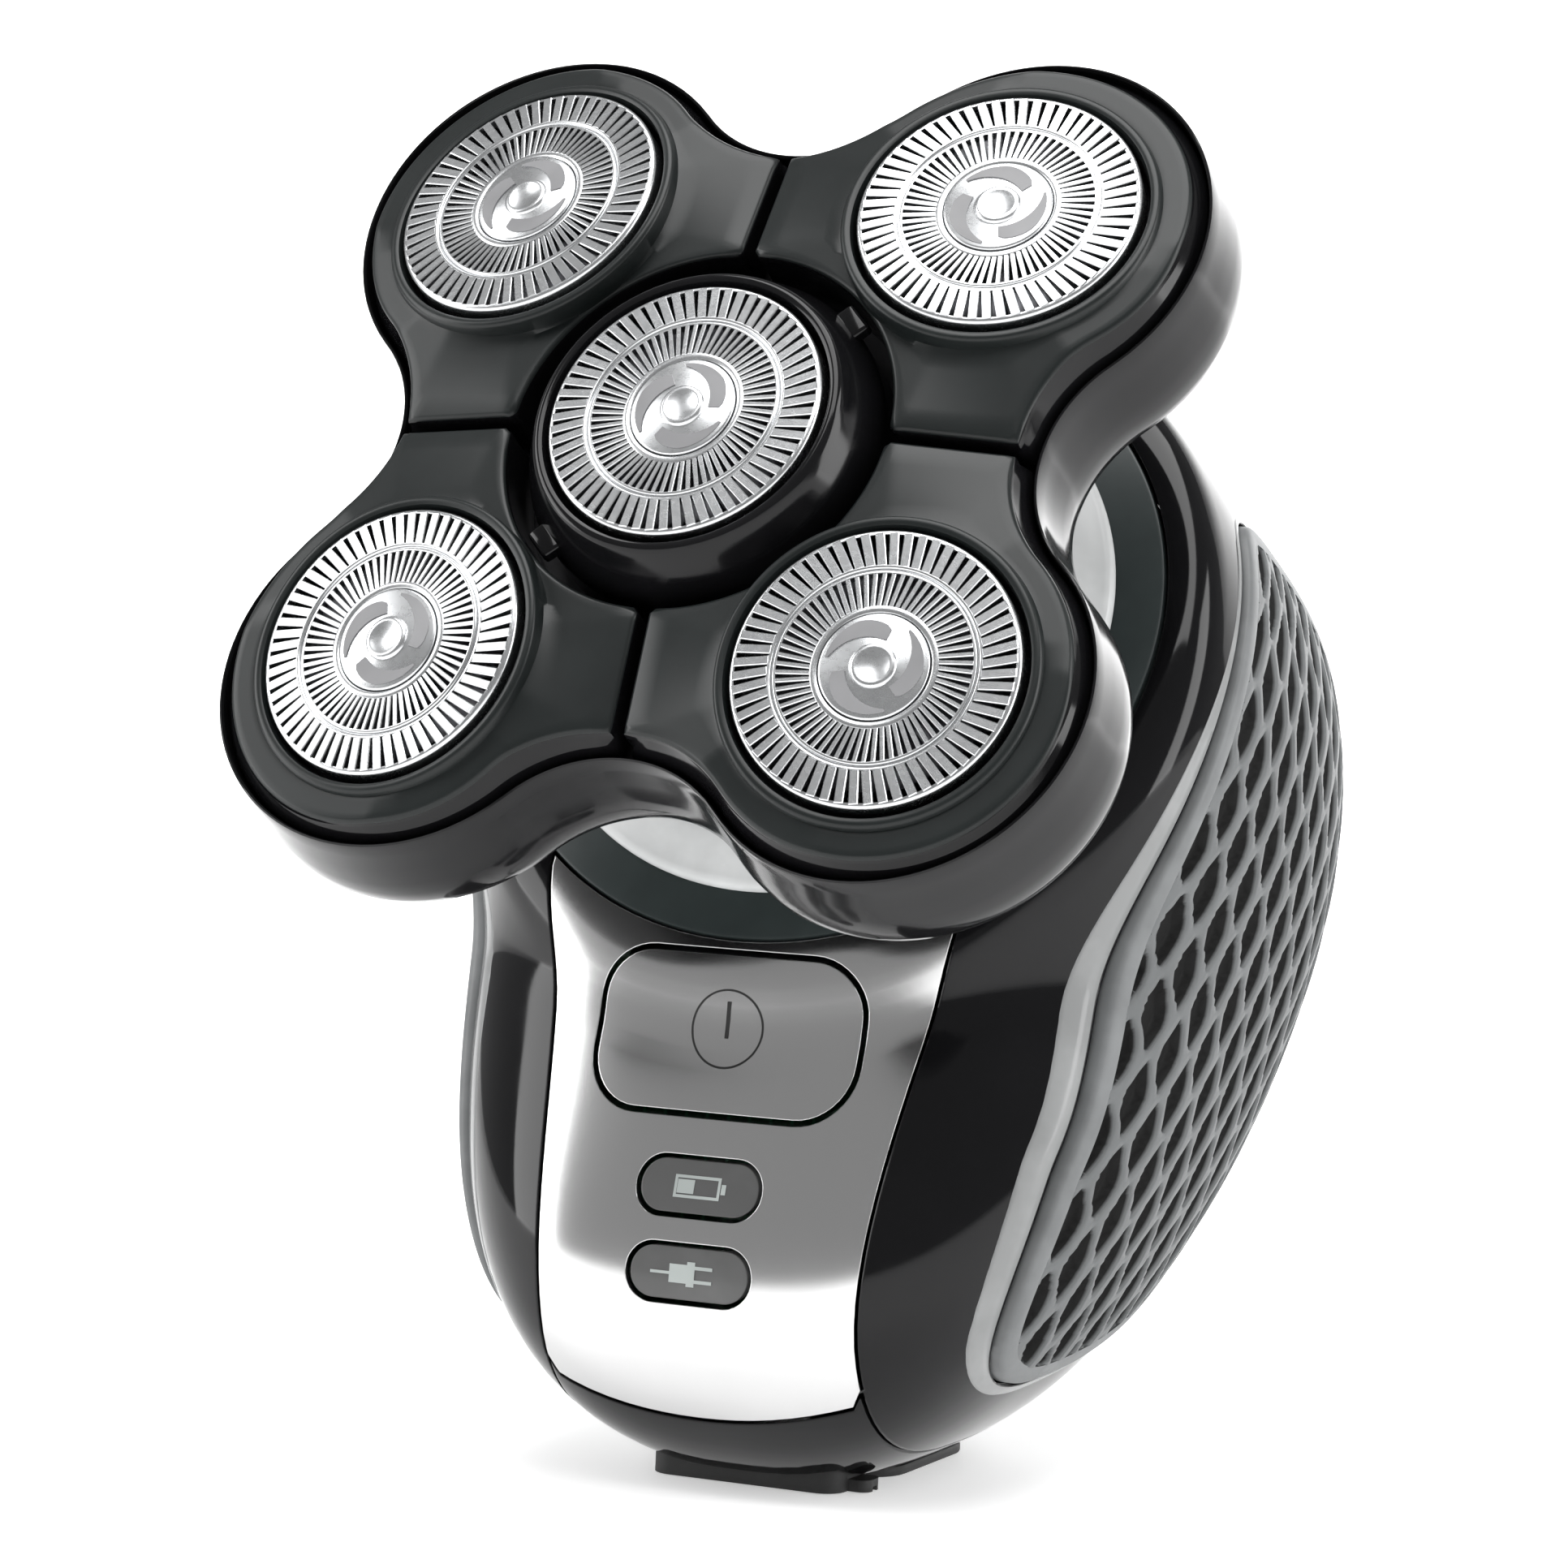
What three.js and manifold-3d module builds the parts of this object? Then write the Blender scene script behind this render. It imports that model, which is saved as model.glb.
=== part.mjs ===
import * as THREE from 'three';
import { mergeVertices } from 'three/addons/utils/BufferGeometryUtils.js';
import Module from 'manifold-3d';

const wasm = await Module();
wasm.setup();

// Millimetres, +Z up, the front panel faces -Y. The finished part's origin is the centre of the
// foot pad's underside; the numbers below put y = 0 near the front, and the group is shifted.
const FOOT_FRONT_Y = 6.8;
const FOOT_BACK_Y = 26;
const FOOT_CENTRE_Y = (FOOT_FRONT_Y + FOOT_BACK_Y) / 2;

// Where the shaving head sits on the body.
const HEAD_TILT = THREE.MathUtils.degToRad(30);
const HEAD_Y = -22;
const HEAD_Z = 88.5;

// Shaving head.
const LOBE_DISTANCE = 29.5;
const LOBE_TILT = THREE.MathUtils.degToRad(8.2);
const LOBE_FACE_N = -2.33;
const GUARD_R = 11.5;
const BORE_R = 11.85;
const POD_HOLE_R = 16.3;
const SEAM_HALF = 0.5;
const NOTCH_SUM = 28.5;
const HEAD_POINTS = 48;
const CENTRE_TEETH = 35;
const OUTER_TEETH = 24;
const GEAR_MODULE = 1;

// Egg-shaped body: horizontal slices below, a dome around the head axis above.
const EGG_HALF_WIDTH = 33.8;
const EGG_FRONT = 34.6;
const EGG_BACK = 36;
const EGG_WIDEST_Z = 55;
const EGG_DROP = 55.5;
const EGG_RISE = 36;
const DOME_R = 35.3;
const DOME_N = -53;
const DOME_HALF = 37;
const DECK_N = -34.3;
const WALL = 2;
const GAP = 0.3;
const GRIP_RAISE = 0.7;
const CUT_GAP = 0.3;

// Body fittings.
const DECK_R = 29.5;
const COLLAR_R = 25.5;
const NECK_R = 18;
const BASE_HALF_WIDTH = 13.9;
const FLOOR_Z = 1.2;
const BACK_HALF_WIDTH = 14;

const group = new THREE.Group();
group.name = 'head_shaver';
group.position.y = -FOOT_CENTRE_Y;

// ---------------------------------------------------------------- helpers

function signedVolume(position, index) {
  const a = new THREE.Vector3();
  const b = new THREE.Vector3();
  const c = new THREE.Vector3();
  let total = 0;
  for (let i = 0; i < index.length; i += 3) {
    a.fromBufferAttribute(position, index[i]);
    b.fromBufferAttribute(position, index[i + 1]);
    c.fromBufferAttribute(position, index[i + 2]);
    total += a.dot(b.cross(c)) / 6;
  }
  return total;
}

// A closed three.js surface becomes a solid for the booleans, faces outward.
function solid(source) {
  let geometry = source.clone();
  geometry.deleteAttribute('normal');
  geometry.deleteAttribute('uv');
  geometry = mergeVertices(geometry, 1e-4);
  const position = geometry.attributes.position;
  const index = [];
  const raw = geometry.index.array;
  for (let i = 0; i < raw.length; i += 3) {
    const [p, q, r] = [raw[i], raw[i + 1], raw[i + 2]];
    if (p !== q && q !== r && r !== p) {
      index.push(p, q, r);
    }
  }
  if (signedVolume(position, index) < 0) {
    index.reverse();
  }
  return new wasm.Manifold(new wasm.Mesh({
    numProp: 3,
    vertProperties: new Float32Array(position.array),
    triVerts: new Uint32Array(index),
  }));
}

function geometryOf(body) {
  const mesh = body.getMesh();
  const geometry = new THREE.BufferGeometry();
  geometry.setAttribute('position', new THREE.BufferAttribute(new Float32Array(mesh.vertProperties), 3));
  geometry.setIndex(new THREE.BufferAttribute(new Uint32Array(mesh.triVerts), 1));
  geometry.computeVertexNormals();
  return geometry;
}

function add(name, body, color, metalness = 0.1, roughness = 0.4) {
  const material = new THREE.MeshStandardMaterial({ color, metalness, roughness });
  material.name = name;
  const mesh = new THREE.Mesh(geometryOf(body), material);
  mesh.name = name;
  group.add(mesh);
}

function box(x0, x1, y0, y1, z0, z1) {
  const geometry = new THREE.BoxGeometry(x1 - x0, y1 - y0, z1 - z0);
  geometry.translate((x0 + x1) / 2, (y0 + y1) / 2, (z0 + z1) / 2);
  return solid(geometry);
}

// A cylinder or cone along Z from z0 to z1.
function rod(r0, z0, z1, segments = 32, r1 = r0) {
  const geometry = new THREE.CylinderGeometry(r1, r0, z1 - z0, segments);
  geometry.rotateX(Math.PI / 2);
  geometry.translate(0, 0, (z0 + z1) / 2);
  return solid(geometry);
}

// A turned shape about Z; the profile is [radius, z] pairs.
function turned(profile, segments = 32) {
  const points = profile.map(([r, z]) => new THREE.Vector2(r, z));
  const geometry = new THREE.LatheGeometry(points, segments);
  geometry.rotateX(Math.PI / 2);
  return solid(geometry);
}

// Stacked rings of equal point count, closed with a fan at each end.
function stacked(rings) {
  const count = rings[0].length;
  const vertices = [];
  for (const ring of rings) {
    for (const point of ring) {
      vertices.push(point.x, point.y, point.z);
    }
  }
  const index = [];
  for (let level = 0; level < rings.length - 1; level += 1) {
    for (let i = 0; i < count; i += 1) {
      const a = level * count + i;
      const b = level * count + (i + 1) % count;
      index.push(a, b, b + count, a, b + count, a + count);
    }
  }
  for (const level of [0, rings.length - 1]) {
    const centre = new THREE.Vector3();
    rings[level].forEach((point) => centre.add(point));
    centre.divideScalar(count);
    const hub = vertices.length / 3;
    vertices.push(centre.x, centre.y, centre.z);
    for (let i = 0; i < count; i += 1) {
      const a = level * count + i;
      const b = level * count + (i + 1) % count;
      if (level === 0) {
        index.push(hub, b, a);
      } else {
        index.push(hub, a, b);
      }
    }
  }
  const geometry = new THREE.BufferGeometry();
  geometry.setAttribute('position', new THREE.BufferAttribute(new Float32Array(vertices), 3));
  geometry.setIndex(index);
  return solid(geometry);
}

function extruded(shape, depth, curveSegments = 6) {
  const geometry = new THREE.ExtrudeGeometry(shape, { depth, bevelEnabled: false, curveSegments });
  return solid(geometry);
}

function moved(body, matrix) {
  return body.transform(matrix.toArray());
}

const headAxisX = new THREE.Vector3(1, 0, 0);
const headAxisU = new THREE.Vector3(0, Math.sin(HEAD_TILT), Math.cos(HEAD_TILT));
const headAxisN = new THREE.Vector3(0, -Math.cos(HEAD_TILT), Math.sin(HEAD_TILT));
const headOrigin = new THREE.Vector3(0, HEAD_Y, HEAD_Z);
const headMatrix = new THREE.Matrix4().makeBasis(headAxisX, headAxisU, headAxisN).setPosition(headOrigin);

// Head frame (x right, y up the face, z out of the face) to the part frame.
function onHead(body) {
  return moved(body, headMatrix);
}

function lobeAngle(i) {
  return Math.PI / 4 + i * Math.PI / 2;
}

// Cutter frame of outer lobe i (origin on its face) to the head frame.
function lobeMatrix(i) {
  return new THREE.Matrix4()
    .makeRotationZ(lobeAngle(i))
    .multiply(new THREE.Matrix4().makeTranslation(LOBE_DISTANCE, 0, LOBE_FACE_N))
    .multiply(new THREE.Matrix4().makeRotationY(LOBE_TILT));
}

function spun(body, angle) {
  return moved(body, new THREE.Matrix4().makeRotationZ(angle));
}

function shifted(body, x, y, z) {
  return moved(body, new THREE.Matrix4().makeTranslation(x, y, z));
}

// ---------------------------------------------------------- head outline

// Radius of the four-lobed outline at angle theta: round lobes of radius r joined by fillets.
// With the default fillet, outlines of different r run parallel to each other.
function outlineRadius(theta, r, fillet = NOTCH_SUM - r) {
  const half = LOBE_DISTANCE / Math.SQRT2;
  let t = Math.abs(theta % (Math.PI / 2));
  t = Math.min(t, Math.PI / 2 - t);
  const notch = half + Math.sqrt((r + fillet) ** 2 - half ** 2);
  const touchX = notch + fillet * (half - notch) / (r + fillet);
  const touchY = fillet * half / (r + fillet);
  if (t < Math.atan2(touchY, touchX)) {
    return notch * Math.cos(t) - Math.sqrt(fillet ** 2 - (notch * Math.sin(t)) ** 2);
  }
  const along = half * (Math.cos(t) + Math.sin(t));
  const across = half * (Math.cos(t) - Math.sin(t));
  return along + Math.sqrt(r ** 2 - across ** 2);
}

function outlineRing(r, fillet, height, scale = 1) {
  const ring = [];
  for (let i = 0; i < HEAD_POINTS; i += 1) {
    const theta = 2 * Math.PI * i / HEAD_POINTS;
    const radius = outlineRadius(theta, r, fillet) * scale;
    const x = radius * Math.cos(theta);
    const y = radius * Math.sin(theta);
    ring.push(new THREE.Vector3(x, y, typeof height === 'number' ? height : height(x, y)));
  }
  return ring;
}

// Height of the lobe tops: level near the middle, falling outward with each lobe and into the notches.
function lobeTop(drop) {
  return (x, y) => {
    const outward = (Math.abs(x) + Math.abs(y)) / Math.SQRT2 - LOBE_DISTANCE;
    const across = Math.abs(Math.abs(x) - Math.abs(y)) / Math.SQRT2;
    const top = Math.min(-3, -3.4 - Math.tan(LOBE_TILT) * outward);
    return top - 0.2 * Math.max(0, across - 11.5) - drop;
  };
}

// ------------------------------------------------------------ head parts

function headBase() {
  const outer = stacked([
    outlineRing(15, undefined, -17.4),
    outlineRing(15.8, undefined, -16.8),
    outlineRing(17, undefined, -10.5),
    outlineRing(16.9, undefined, -7.3),
  ]);
  const inner = stacked([
    outlineRing(14.6, undefined, -15.8),
    outlineRing(15.4, undefined, -12.5),
    outlineRing(16.15, undefined, -9.9),
    outlineRing(16.15, undefined, -6),
  ]);
  const skirt = rod(20.6, -29.6, -16.5, 32);
  const bore = rod(18.6, -31, -17.3, 32);
  const shaftHole = rod(4.2, -18, -15, 16);
  return outer.subtract(inner).add(skirt.subtract(bore)).subtract(shaftHole);
}

function gearPlate() {
  const plate = stacked([outlineRing(14.3, undefined, -12.1), outlineRing(14.3, undefined, -11.3)]);
  let body = plate.subtract(rod(5, -13, -10, 16));
  for (let i = 0; i < 4; i += 1) {
    const hole = shifted(rod(3.2, -13, -10, 12), LOBE_DISTANCE, 0, 0);
    body = body.subtract(spun(hole, lobeAngle(i)));
  }
  return body;
}

// One lobe's cover: a thin hood with a raised ring round its cutter bore.
function lobeCover(i) {
  const hood = stacked([
    outlineRing(15.8, undefined, -9.6),
    outlineRing(15.8, undefined, -6.9),
    outlineRing(15, 10, lobeTop(0.3)),
    outlineRing(14, 10.6, lobeTop(0)),
    outlineRing(14, 10.6, lobeTop(0), 0.6),
  ]);
  const hollow = stacked([
    outlineRing(14.7, undefined, -11),
    outlineRing(14.5, 11.5, lobeTop(3)),
    outlineRing(12.6, 12, lobeTop(1.4)),
    outlineRing(12.6, 12, lobeTop(1.4), 0.55),
  ]);
  const ring = moved(rod(13, -2.6, -0.55, 24, 12.5), lobeMatrix(i));
  const bore = moved(rod(BORE_R + 0.1, -6.5, 4, 24), lobeMatrix(i));
  const quadrant = spun(box(SEAM_HALF, 60, SEAM_HALF, 60, -20, 5), i * Math.PI / 2);
  const innerWall = rod(POD_HOLE_R + 1.1, -9.6, -4.3, 24);
  const whole = hood.subtract(hollow.subtract(innerWall)).add(ring);
  return whole.intersect(quadrant).subtract(rod(POD_HOLE_R, -30, 5, 24)).subtract(bore);
}

function pod() {
  const body = turned([
    [0, -9.6],
    [14.9, -9.6],
    [14.9, -5],
    [14, -2.5],
    [12.9, -0.6],
    [12.4, -0.3],
    [0, -0.3],
  ], 28);
  const tab = spun(box(13.5, 15.8, -1.6, 1.6, -4.6, -3.2), Math.PI / 4);
  const otherTab = spun(tab, Math.PI);
  const bore = rod(BORE_R, -12, 2, 24);
  return body.add(tab).add(otherTab).subtract(bore);
}

// Guard: a thin-walled ring over the blades, open below and at its middle.
function guard() {
  return turned([
    [11.5, -2.6],
    [11.5, -0.3],
    [11.2, 0],
    [4.75, 0],
    [4.75, -0.75],
    [10.9, -0.75],
    [10.9, -2.6],
    [11.5, -2.6],
  ], 24);
}

function guardCap() {
  return turned([
    [0, -1.5],
    [4.4, -1.5],
    [4.4, -0.1],
    [4.1, 0.15],
    [1.8, 0.15],
    [1.5, 0.4],
    [0, 0.45],
  ], 16);
}

// Rotary cutter: hub with blades that sweep under the guard's tracks.
function cutter(hubEnd) {
  let body = rod(9.4, -3.4, -2.3, 16).add(rod(3.1, hubEnd, -2.3, 10)).subtract(rod(1.4, hubEnd - 1, hubEnd + 1.5, 6));
  for (let i = 0; i < 6; i += 1) {
    const blade = box(5.8, 9.2, -0.35, 0.35, -3, -1.1);
    body = body.add(spun(blade, i * Math.PI / 3));
  }
  return body;
}

function gear(teeth, phase, bottom, top) {
  const shape = new THREE.Shape();
  const pitch = teeth * GEAR_MODULE / 2;
  const root = pitch - 1.15 * GEAR_MODULE;
  const tip = pitch + 0.85 * GEAR_MODULE;
  const step = 2 * Math.PI / teeth;
  for (let i = 0; i < teeth; i += 1) {
    const middle = phase + i * step;
    const corners = [[root, -0.3], [tip, -0.1], [tip, 0.1], [root, 0.3]];
    corners.forEach(([radius, share], corner) => {
      const x = radius * Math.cos(middle + share * step);
      const y = radius * Math.sin(middle + share * step);
      if (i === 0 && corner === 0) {
        shape.moveTo(x, y);
      } else {
        shape.lineTo(x, y);
      }
    });
  }
  shape.closePath();
  return shifted(extruded(shape, top - bottom), 0, 0, bottom);
}

function centreGear() {
  const hub = rod(4.2, -14.9, -9.4, 16);
  const socket = rod(2.9, -16, -9.9, 6);
  return gear(CENTRE_TEETH, 0, -14.9, -12.9).add(hub).subtract(socket);
}

// The outer gears are turned so that a gap faces each tooth of the middle gear.
function outerGear(i) {
  const facing = lobeAngle(i);
  const toothShare = (facing * CENTRE_TEETH / (2 * Math.PI)) % 1;
  const phase = facing + Math.PI - (0.5 - toothShare) * 2 * Math.PI / OUTER_TEETH;
  const body = gear(OUTER_TEETH, phase, -14.9, -12.9).add(rod(2.6, -14.9, -8.9, 12));
  const offset = new THREE.Vector3(LOBE_DISTANCE, 0, 0).applyAxisAngle(new THREE.Vector3(0, 0, 1), facing);
  return shifted(body, offset.x, offset.y, 0);
}

// -------------------------------------------------------- body surface

function smoothMin(a, b, k) {
  const h = THREE.MathUtils.clamp(0.5 + 0.5 * (b - a) / k, 0, 1);
  return b * (1 - h) + a * h - k * h * (1 - h);
}

function superRadius(half, share, power) {
  return half * (1 - share ** power) ** (1 / power);
}

// Negative inside the body, positive outside.
function bodyField(point) {
  const fromHead = point.clone().sub(headOrigin);
  const n = fromHead.dot(headAxisN);
  const u = fromHead.dot(headAxisU);
  const radial = Math.hypot(point.x, u) / DOME_R;
  const axial = Math.abs(n - DOME_N) / DOME_HALF;
  const dome = ((radial ** 2.6 + axial ** 2.6) ** (1 / 2.6) - 1) * DOME_R;
  const lean = THREE.MathUtils.smoothstep(point.z, 3, 53);
  const middle = 11.5 + 18 * lean;
  const below = point.z < EGG_WIDEST_Z;
  const share = Math.abs(point.z - EGG_WIDEST_Z) / (below ? EGG_DROP : EGG_RISE);
  const held = Math.min(share, 0.9995);
  const halfWidth = superRadius(EGG_HALF_WIDTH, held, 2.2);
  const front = point.y < middle;
  const halfDepth = front ? superRadius(EGG_FRONT, held, 2.7) : superRadius(EGG_BACK, held, 3.2);
  const power = front ? 3 : 2.6;
  const across = (Math.abs(point.x) / halfWidth) ** power + (Math.abs(point.y - middle) / halfDepth) ** power;
  let egg = (across ** (1 / power) - 1) * Math.min(halfWidth, halfDepth);
  if (share >= 1) {
    egg = Math.max(egg, (share - 1) * EGG_DROP + 0.1);
  }
  return -smoothMin(-smoothMin(dome, egg, 5), -(n - DECK_N), 3);
}

// The body's skin moved out by `offset`, as rings about the head axis.
function bodySolid(offset, around = 30, rows = 18) {
  const centre = headOrigin.clone().addScaledVector(headAxisN, -62);
  const rings = [];
  for (let row = 0; row < rows; row += 1) {
    const polar = Math.PI * (row + 0.6) / (rows + 0.2);
    const ring = [];
    for (let i = 0; i < around; i += 1) {
      const turn = 2 * Math.PI * i / around;
      const direction = headAxisN.clone().multiplyScalar(Math.cos(polar));
      direction.addScaledVector(headAxisX, Math.sin(polar) * Math.cos(turn));
      direction.addScaledVector(headAxisU, Math.sin(polar) * Math.sin(turn));
      let near = 0;
      let far = 110;
      for (let pass = 0; pass < 30; pass += 1) {
        const reach = (near + far) / 2;
        const value = bodyField(centre.clone().addScaledVector(direction, reach)) - offset;
        if (value < 0) {
          near = reach;
        } else {
          far = reach;
        }
      }
      ring.push(centre.clone().addScaledVector(direction, near));
    }
    rings.push(ring);
  }
  return stacked(rings);
}

// Shapes drawn in x and z, cut along y from back to front.
function alongY(shape, y0, y1) {
  const body = extruded(shape, y1 - y0, 4);
  return shifted(moved(body, new THREE.Matrix4().makeRotationX(Math.PI / 2)), 0, y1, 0);
}

// Shapes drawn in y and z, cut along x.
function alongX(shape, x0, x1) {
  const body = extruded(shape, x1 - x0, 6);
  const basis = new THREE.Matrix4().makeBasis(
    new THREE.Vector3(0, 1, 0),
    new THREE.Vector3(0, 0, 1),
    new THREE.Vector3(1, 0, 0),
  );
  return shifted(moved(body, basis), x0, 0, 0);
}

function panelHalfWidth(z) {
  return 14 + 4.6 * Math.min(1, Math.max(0, (z - 14) / 36)) ** 1.6;
}

function panelShape(grow) {
  const shape = new THREE.Shape();
  const top = 56;
  const steps = 6;
  const corner = 10.6;
  shape.moveTo(-panelHalfWidth(top) - grow, top);
  for (let i = 1; i <= steps; i += 1) {
    const z = top + (corner - top) * i / steps;
    shape.lineTo(-panelHalfWidth(z) - grow, z);
  }
  for (let i = 0; i <= 6; i += 1) {
    const x = (i / 3 - 1) * 13.2;
    shape.lineTo(x, 6.9 + 2.2 * (x / 13.2) ** 2 - grow);
  }
  for (let i = 0; i <= steps; i += 1) {
    const z = corner + (top - corner) * i / steps;
    shape.lineTo(panelHalfWidth(z) + grow, z);
  }
  shape.closePath();
  return shape;
}

function roundedShape(x0, x1, z0, z1, r) {
  const shape = new THREE.Shape();
  shape.moveTo(x0 + r, z0);
  shape.lineTo(x1 - r, z0);
  shape.absarc(x1 - r, z0 + r, r, -Math.PI / 2, 0, false);
  shape.lineTo(x1, z1 - r);
  shape.absarc(x1 - r, z1 - r, r, 0, Math.PI / 2, false);
  shape.lineTo(x0 + r, z1);
  shape.absarc(x0 + r, z1 - r, r, Math.PI / 2, Math.PI, false);
  shape.lineTo(x0, z0 + r);
  shape.absarc(x0 + r, z0 + r, r, Math.PI, 1.5 * Math.PI, false);
  return shape;
}

// Side view of a grip: narrow at the top, rounded at the bottom.
function gripShape(grow) {
  const shape = new THREE.Shape();
  const g = grow;
  shape.moveTo(22.5 - g, 81.5 + g);
  shape.bezierCurveTo(2 - g, 60, 4.5 - g, 42, -2 - g, 29);
  shape.bezierCurveTo(-5.5 - g, 18, -6 - g, 9.5 - g, 8, 9.8 - g);
  shape.bezierCurveTo(30, 10 - g, 46 + g, 20 - g, 52 + g, 40);
  shape.bezierCurveTo(55 + g, 62, 44 + g, 78 + g, 22.5 - g, 81.5 + g);
  return shape;
}

function buttonShape(grow) {
  return roundedShape(-11.5 - grow, 11.5 + grow, 31.8 - grow, 44.4 + grow, 4.4 + grow);
}

function pillShape(z, grow) {
  return roundedShape(-5.2 - grow, 5.2 + grow, z - 2.1 - grow, z + 2.1 + grow, 2.05 + grow);
}

// ---------------------------------------------------------- body parts

const skin = bodySolid(0);
const inside = bodySolid(-WALL, 20, 12);
const shell = skin.subtract(inside);
const aboveFloor = box(-60, 60, -40, 90, FLOOR_Z, 120);
const deckCut = onHead(rod(DECK_R + CUT_GAP, DECK_N - WALL - 1.5, DECK_N + 2, 40));
const panelCut = alongY(panelShape(CUT_GAP), -30, 6);
const baseCut = box(-BASE_HALF_WIDTH - CUT_GAP, BASE_HALF_WIDTH + CUT_GAP, -30, 27.3, -5, 10.8);
const backShape = roundedShape(-BACK_HALF_WIDTH, BACK_HALF_WIDTH, 12, 84, 6);
const backCutShape = roundedShape(
  -BACK_HALF_WIDTH - CUT_GAP, BACK_HALF_WIDTH + CUT_GAP, 12 - CUT_GAP, 84 + CUT_GAP, 6 + CUT_GAP);

function frontPanel() {
  const cuts = alongY(buttonShape(CUT_GAP), -30, 6)
    .add(alongY(pillShape(25.9, CUT_GAP), -30, 6))
    .add(alongY(pillShape(19, CUT_GAP), -30, 6));
  return shell.intersect(alongY(panelShape(0), -30, 6)).subtract(cuts).subtract(deckCut);
}

function deckPlate() {
  const disc = rod(DECK_R, DECK_N - WALL, DECK_N, 40);
  return onHead(disc.subtract(rod(6.5, -45, -30, 20)));
}

function sideShell(side) {
  const half = side > 0 ? box(0.15, 60, -40, 90, -5, 120) : box(-60, -0.15, -40, 90, -5, 120);
  const recess = side > 0 ? alongX(gripShape(CUT_GAP), 8, 60) : alongX(gripShape(CUT_GAP), -60, -8);
  const pocket = recess.subtract(inner1());
  return shell
    .intersect(half)
    .intersect(aboveFloor)
    .subtract(deckCut)
    .subtract(panelCut)
    .subtract(baseCut)
    .subtract(alongY(backCutShape, 34, 90))
    .subtract(pocket);
}

let innerOne = null;
function inner1() {
  innerOne = innerOne ?? bodySolid(-1, 20, 12);
  return innerOne;
}

function backShell() {
  return shell.intersect(alongY(backShape, 34.5, 90));
}

function grip(side) {
  const region = side > 0 ? alongX(gripShape(0), 8, 60) : alongX(gripShape(0), -60, -8);
  const pad = bodySolid(GRIP_RAISE).subtract(bodySolid(-1 + GAP, 20, 12));
  return pad.intersect(region).subtract(alongY(backCutShape, 34, 90));
}

function baseCap() {
  const region = box(-BASE_HALF_WIDTH, BASE_HALF_WIDTH, -30, 27, -5, 10.5).subtract(panelCut);
  const floor = skin.intersect(box(-40, 40, -30, 60, 0, 3.4));
  const portBlock = skin.intersect(box(-11, 11, -6, 8, 0, 5.4));
  const pocket = box(-8.9, 8.9, -2.4, 6.1, -2, 3.3);
  const socketHole = box(-4.8, 4.8, 0.2, 3.8, 2, 8);
  return shell.add(floor).add(portBlock).intersect(region).intersect(aboveFloor).subtract(pocket).subtract(socketHole);
}

function portCover() {
  const outline = roundedShape(-8.6, 8.6, -2.1, 5.8, 2);
  const flap = shifted(extruded(outline, 2.9, 4), 0, 0, 0.1);
  const lip = shifted(extruded(roundedShape(7, 10.4, 0.4, 3.4, 1), 1, 3), 0, 0, 0.1);
  const notch = box(8.9, 11, 1.5, 2.3, -1, 0.5);
  return flap.add(lip).subtract(notch);
}

function chargeSocket() {
  const body = box(-4.5, 4.5, 0.5, 3.5, 3.4, 10.5);
  return body.subtract(box(-3.9, 3.9, 1.1, 2.9, 2, 9.5));
}

function footPad() {
  const outline = roundedShape(-9.5, 9.5, FOOT_FRONT_Y, FOOT_BACK_Y, 4);
  return extruded(outline, 0.9, 5);
}

// Push button with a flat boss behind it that meets the switch.
function powerButton() {
  const plate = shell.intersect(alongY(buttonShape(0), -30, 6)).subtract(deckCut);
  return plate;
}

function lens(z) {
  return skin.subtract(inner1()).intersect(alongY(pillShape(z, 0), -30, 0));
}

function collar() {
  const outer = turned([
    [0, -34],
    [COLLAR_R, -34],
    [COLLAR_R, -33.1],
    [24.6, -32.5],
    [NECK_R + 3, -30.3],
    [NECK_R, -30.1],
    [NECK_R, -26.9],
    [NECK_R - 1.1, -26.9],
    [NECK_R - 1.1, -25.1],
    [NECK_R, -25.1],
    [NECK_R, -19],
    [0, -19],
  ], 28);
  const hollow = rod(14, -35, -21, 20);
  return outer.subtract(hollow).subtract(rod(4.6, -22, -18, 16));
}

function neckSeal() {
  const ring = new THREE.TorusGeometry(NECK_R - 0.25, 0.5, 5, 28);
  ring.translate(0, 0, -26);
  return solid(ring);
}

function driveShaft() {
  return rod(1.6, -38.6, -17, 16).add(rod(2.4, -18, -10.4, 6));
}

function motor() {
  return turned([
    [0, -71],
    [9, -71],
    [9, -69],
    [12, -69],
    [12, -39],
    [4, -39],
    [4, -37.4],
    [0, -37.4],
  ], 24).subtract(rod(2, -38.9, -36, 10));
}

const BOARD_HOLES = [[-10, 17], [10, 17], [-10, 38.5], [10, 38.5]];

function rodAlongY(r, y0, y1, x, z, segments = 10) {
  const body = moved(rod(r, y0, y1, segments), new THREE.Matrix4().makeRotationX(-Math.PI / 2));
  return shifted(body, x, 0, z);
}

// Plate behind the circuit board, with posts for it and a ring that holds the motor.
function chassis() {
  const ring = onHead(rod(14.2, -46, -42, 20));
  let body = box(-18, 18, 2.2, 4, 12, 46).add(box(-6, 6, 2.4, 10.5, 45, 56.5)).add(ring);
  for (const [x, z] of BOARD_HOLES) {
    body = body.add(rodAlongY(2.4, -1.5, 3, x, z));
  }
  for (const [x, z] of BOARD_HOLES) {
    body = body.subtract(rodAlongY(1.2, -3, 1.5, x, z));
  }
  return body.subtract(onHead(rod(12.3, -80, -30, 20)));
}

function circuitBoard() {
  let body = box(-13, 13, -3.4, -1.8, 13, 42.5);
  for (const [x, z] of BOARD_HOLES) {
    body = body.subtract(rodAlongY(1.2, -5, 0, x, z));
  }
  return body;
}

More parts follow.
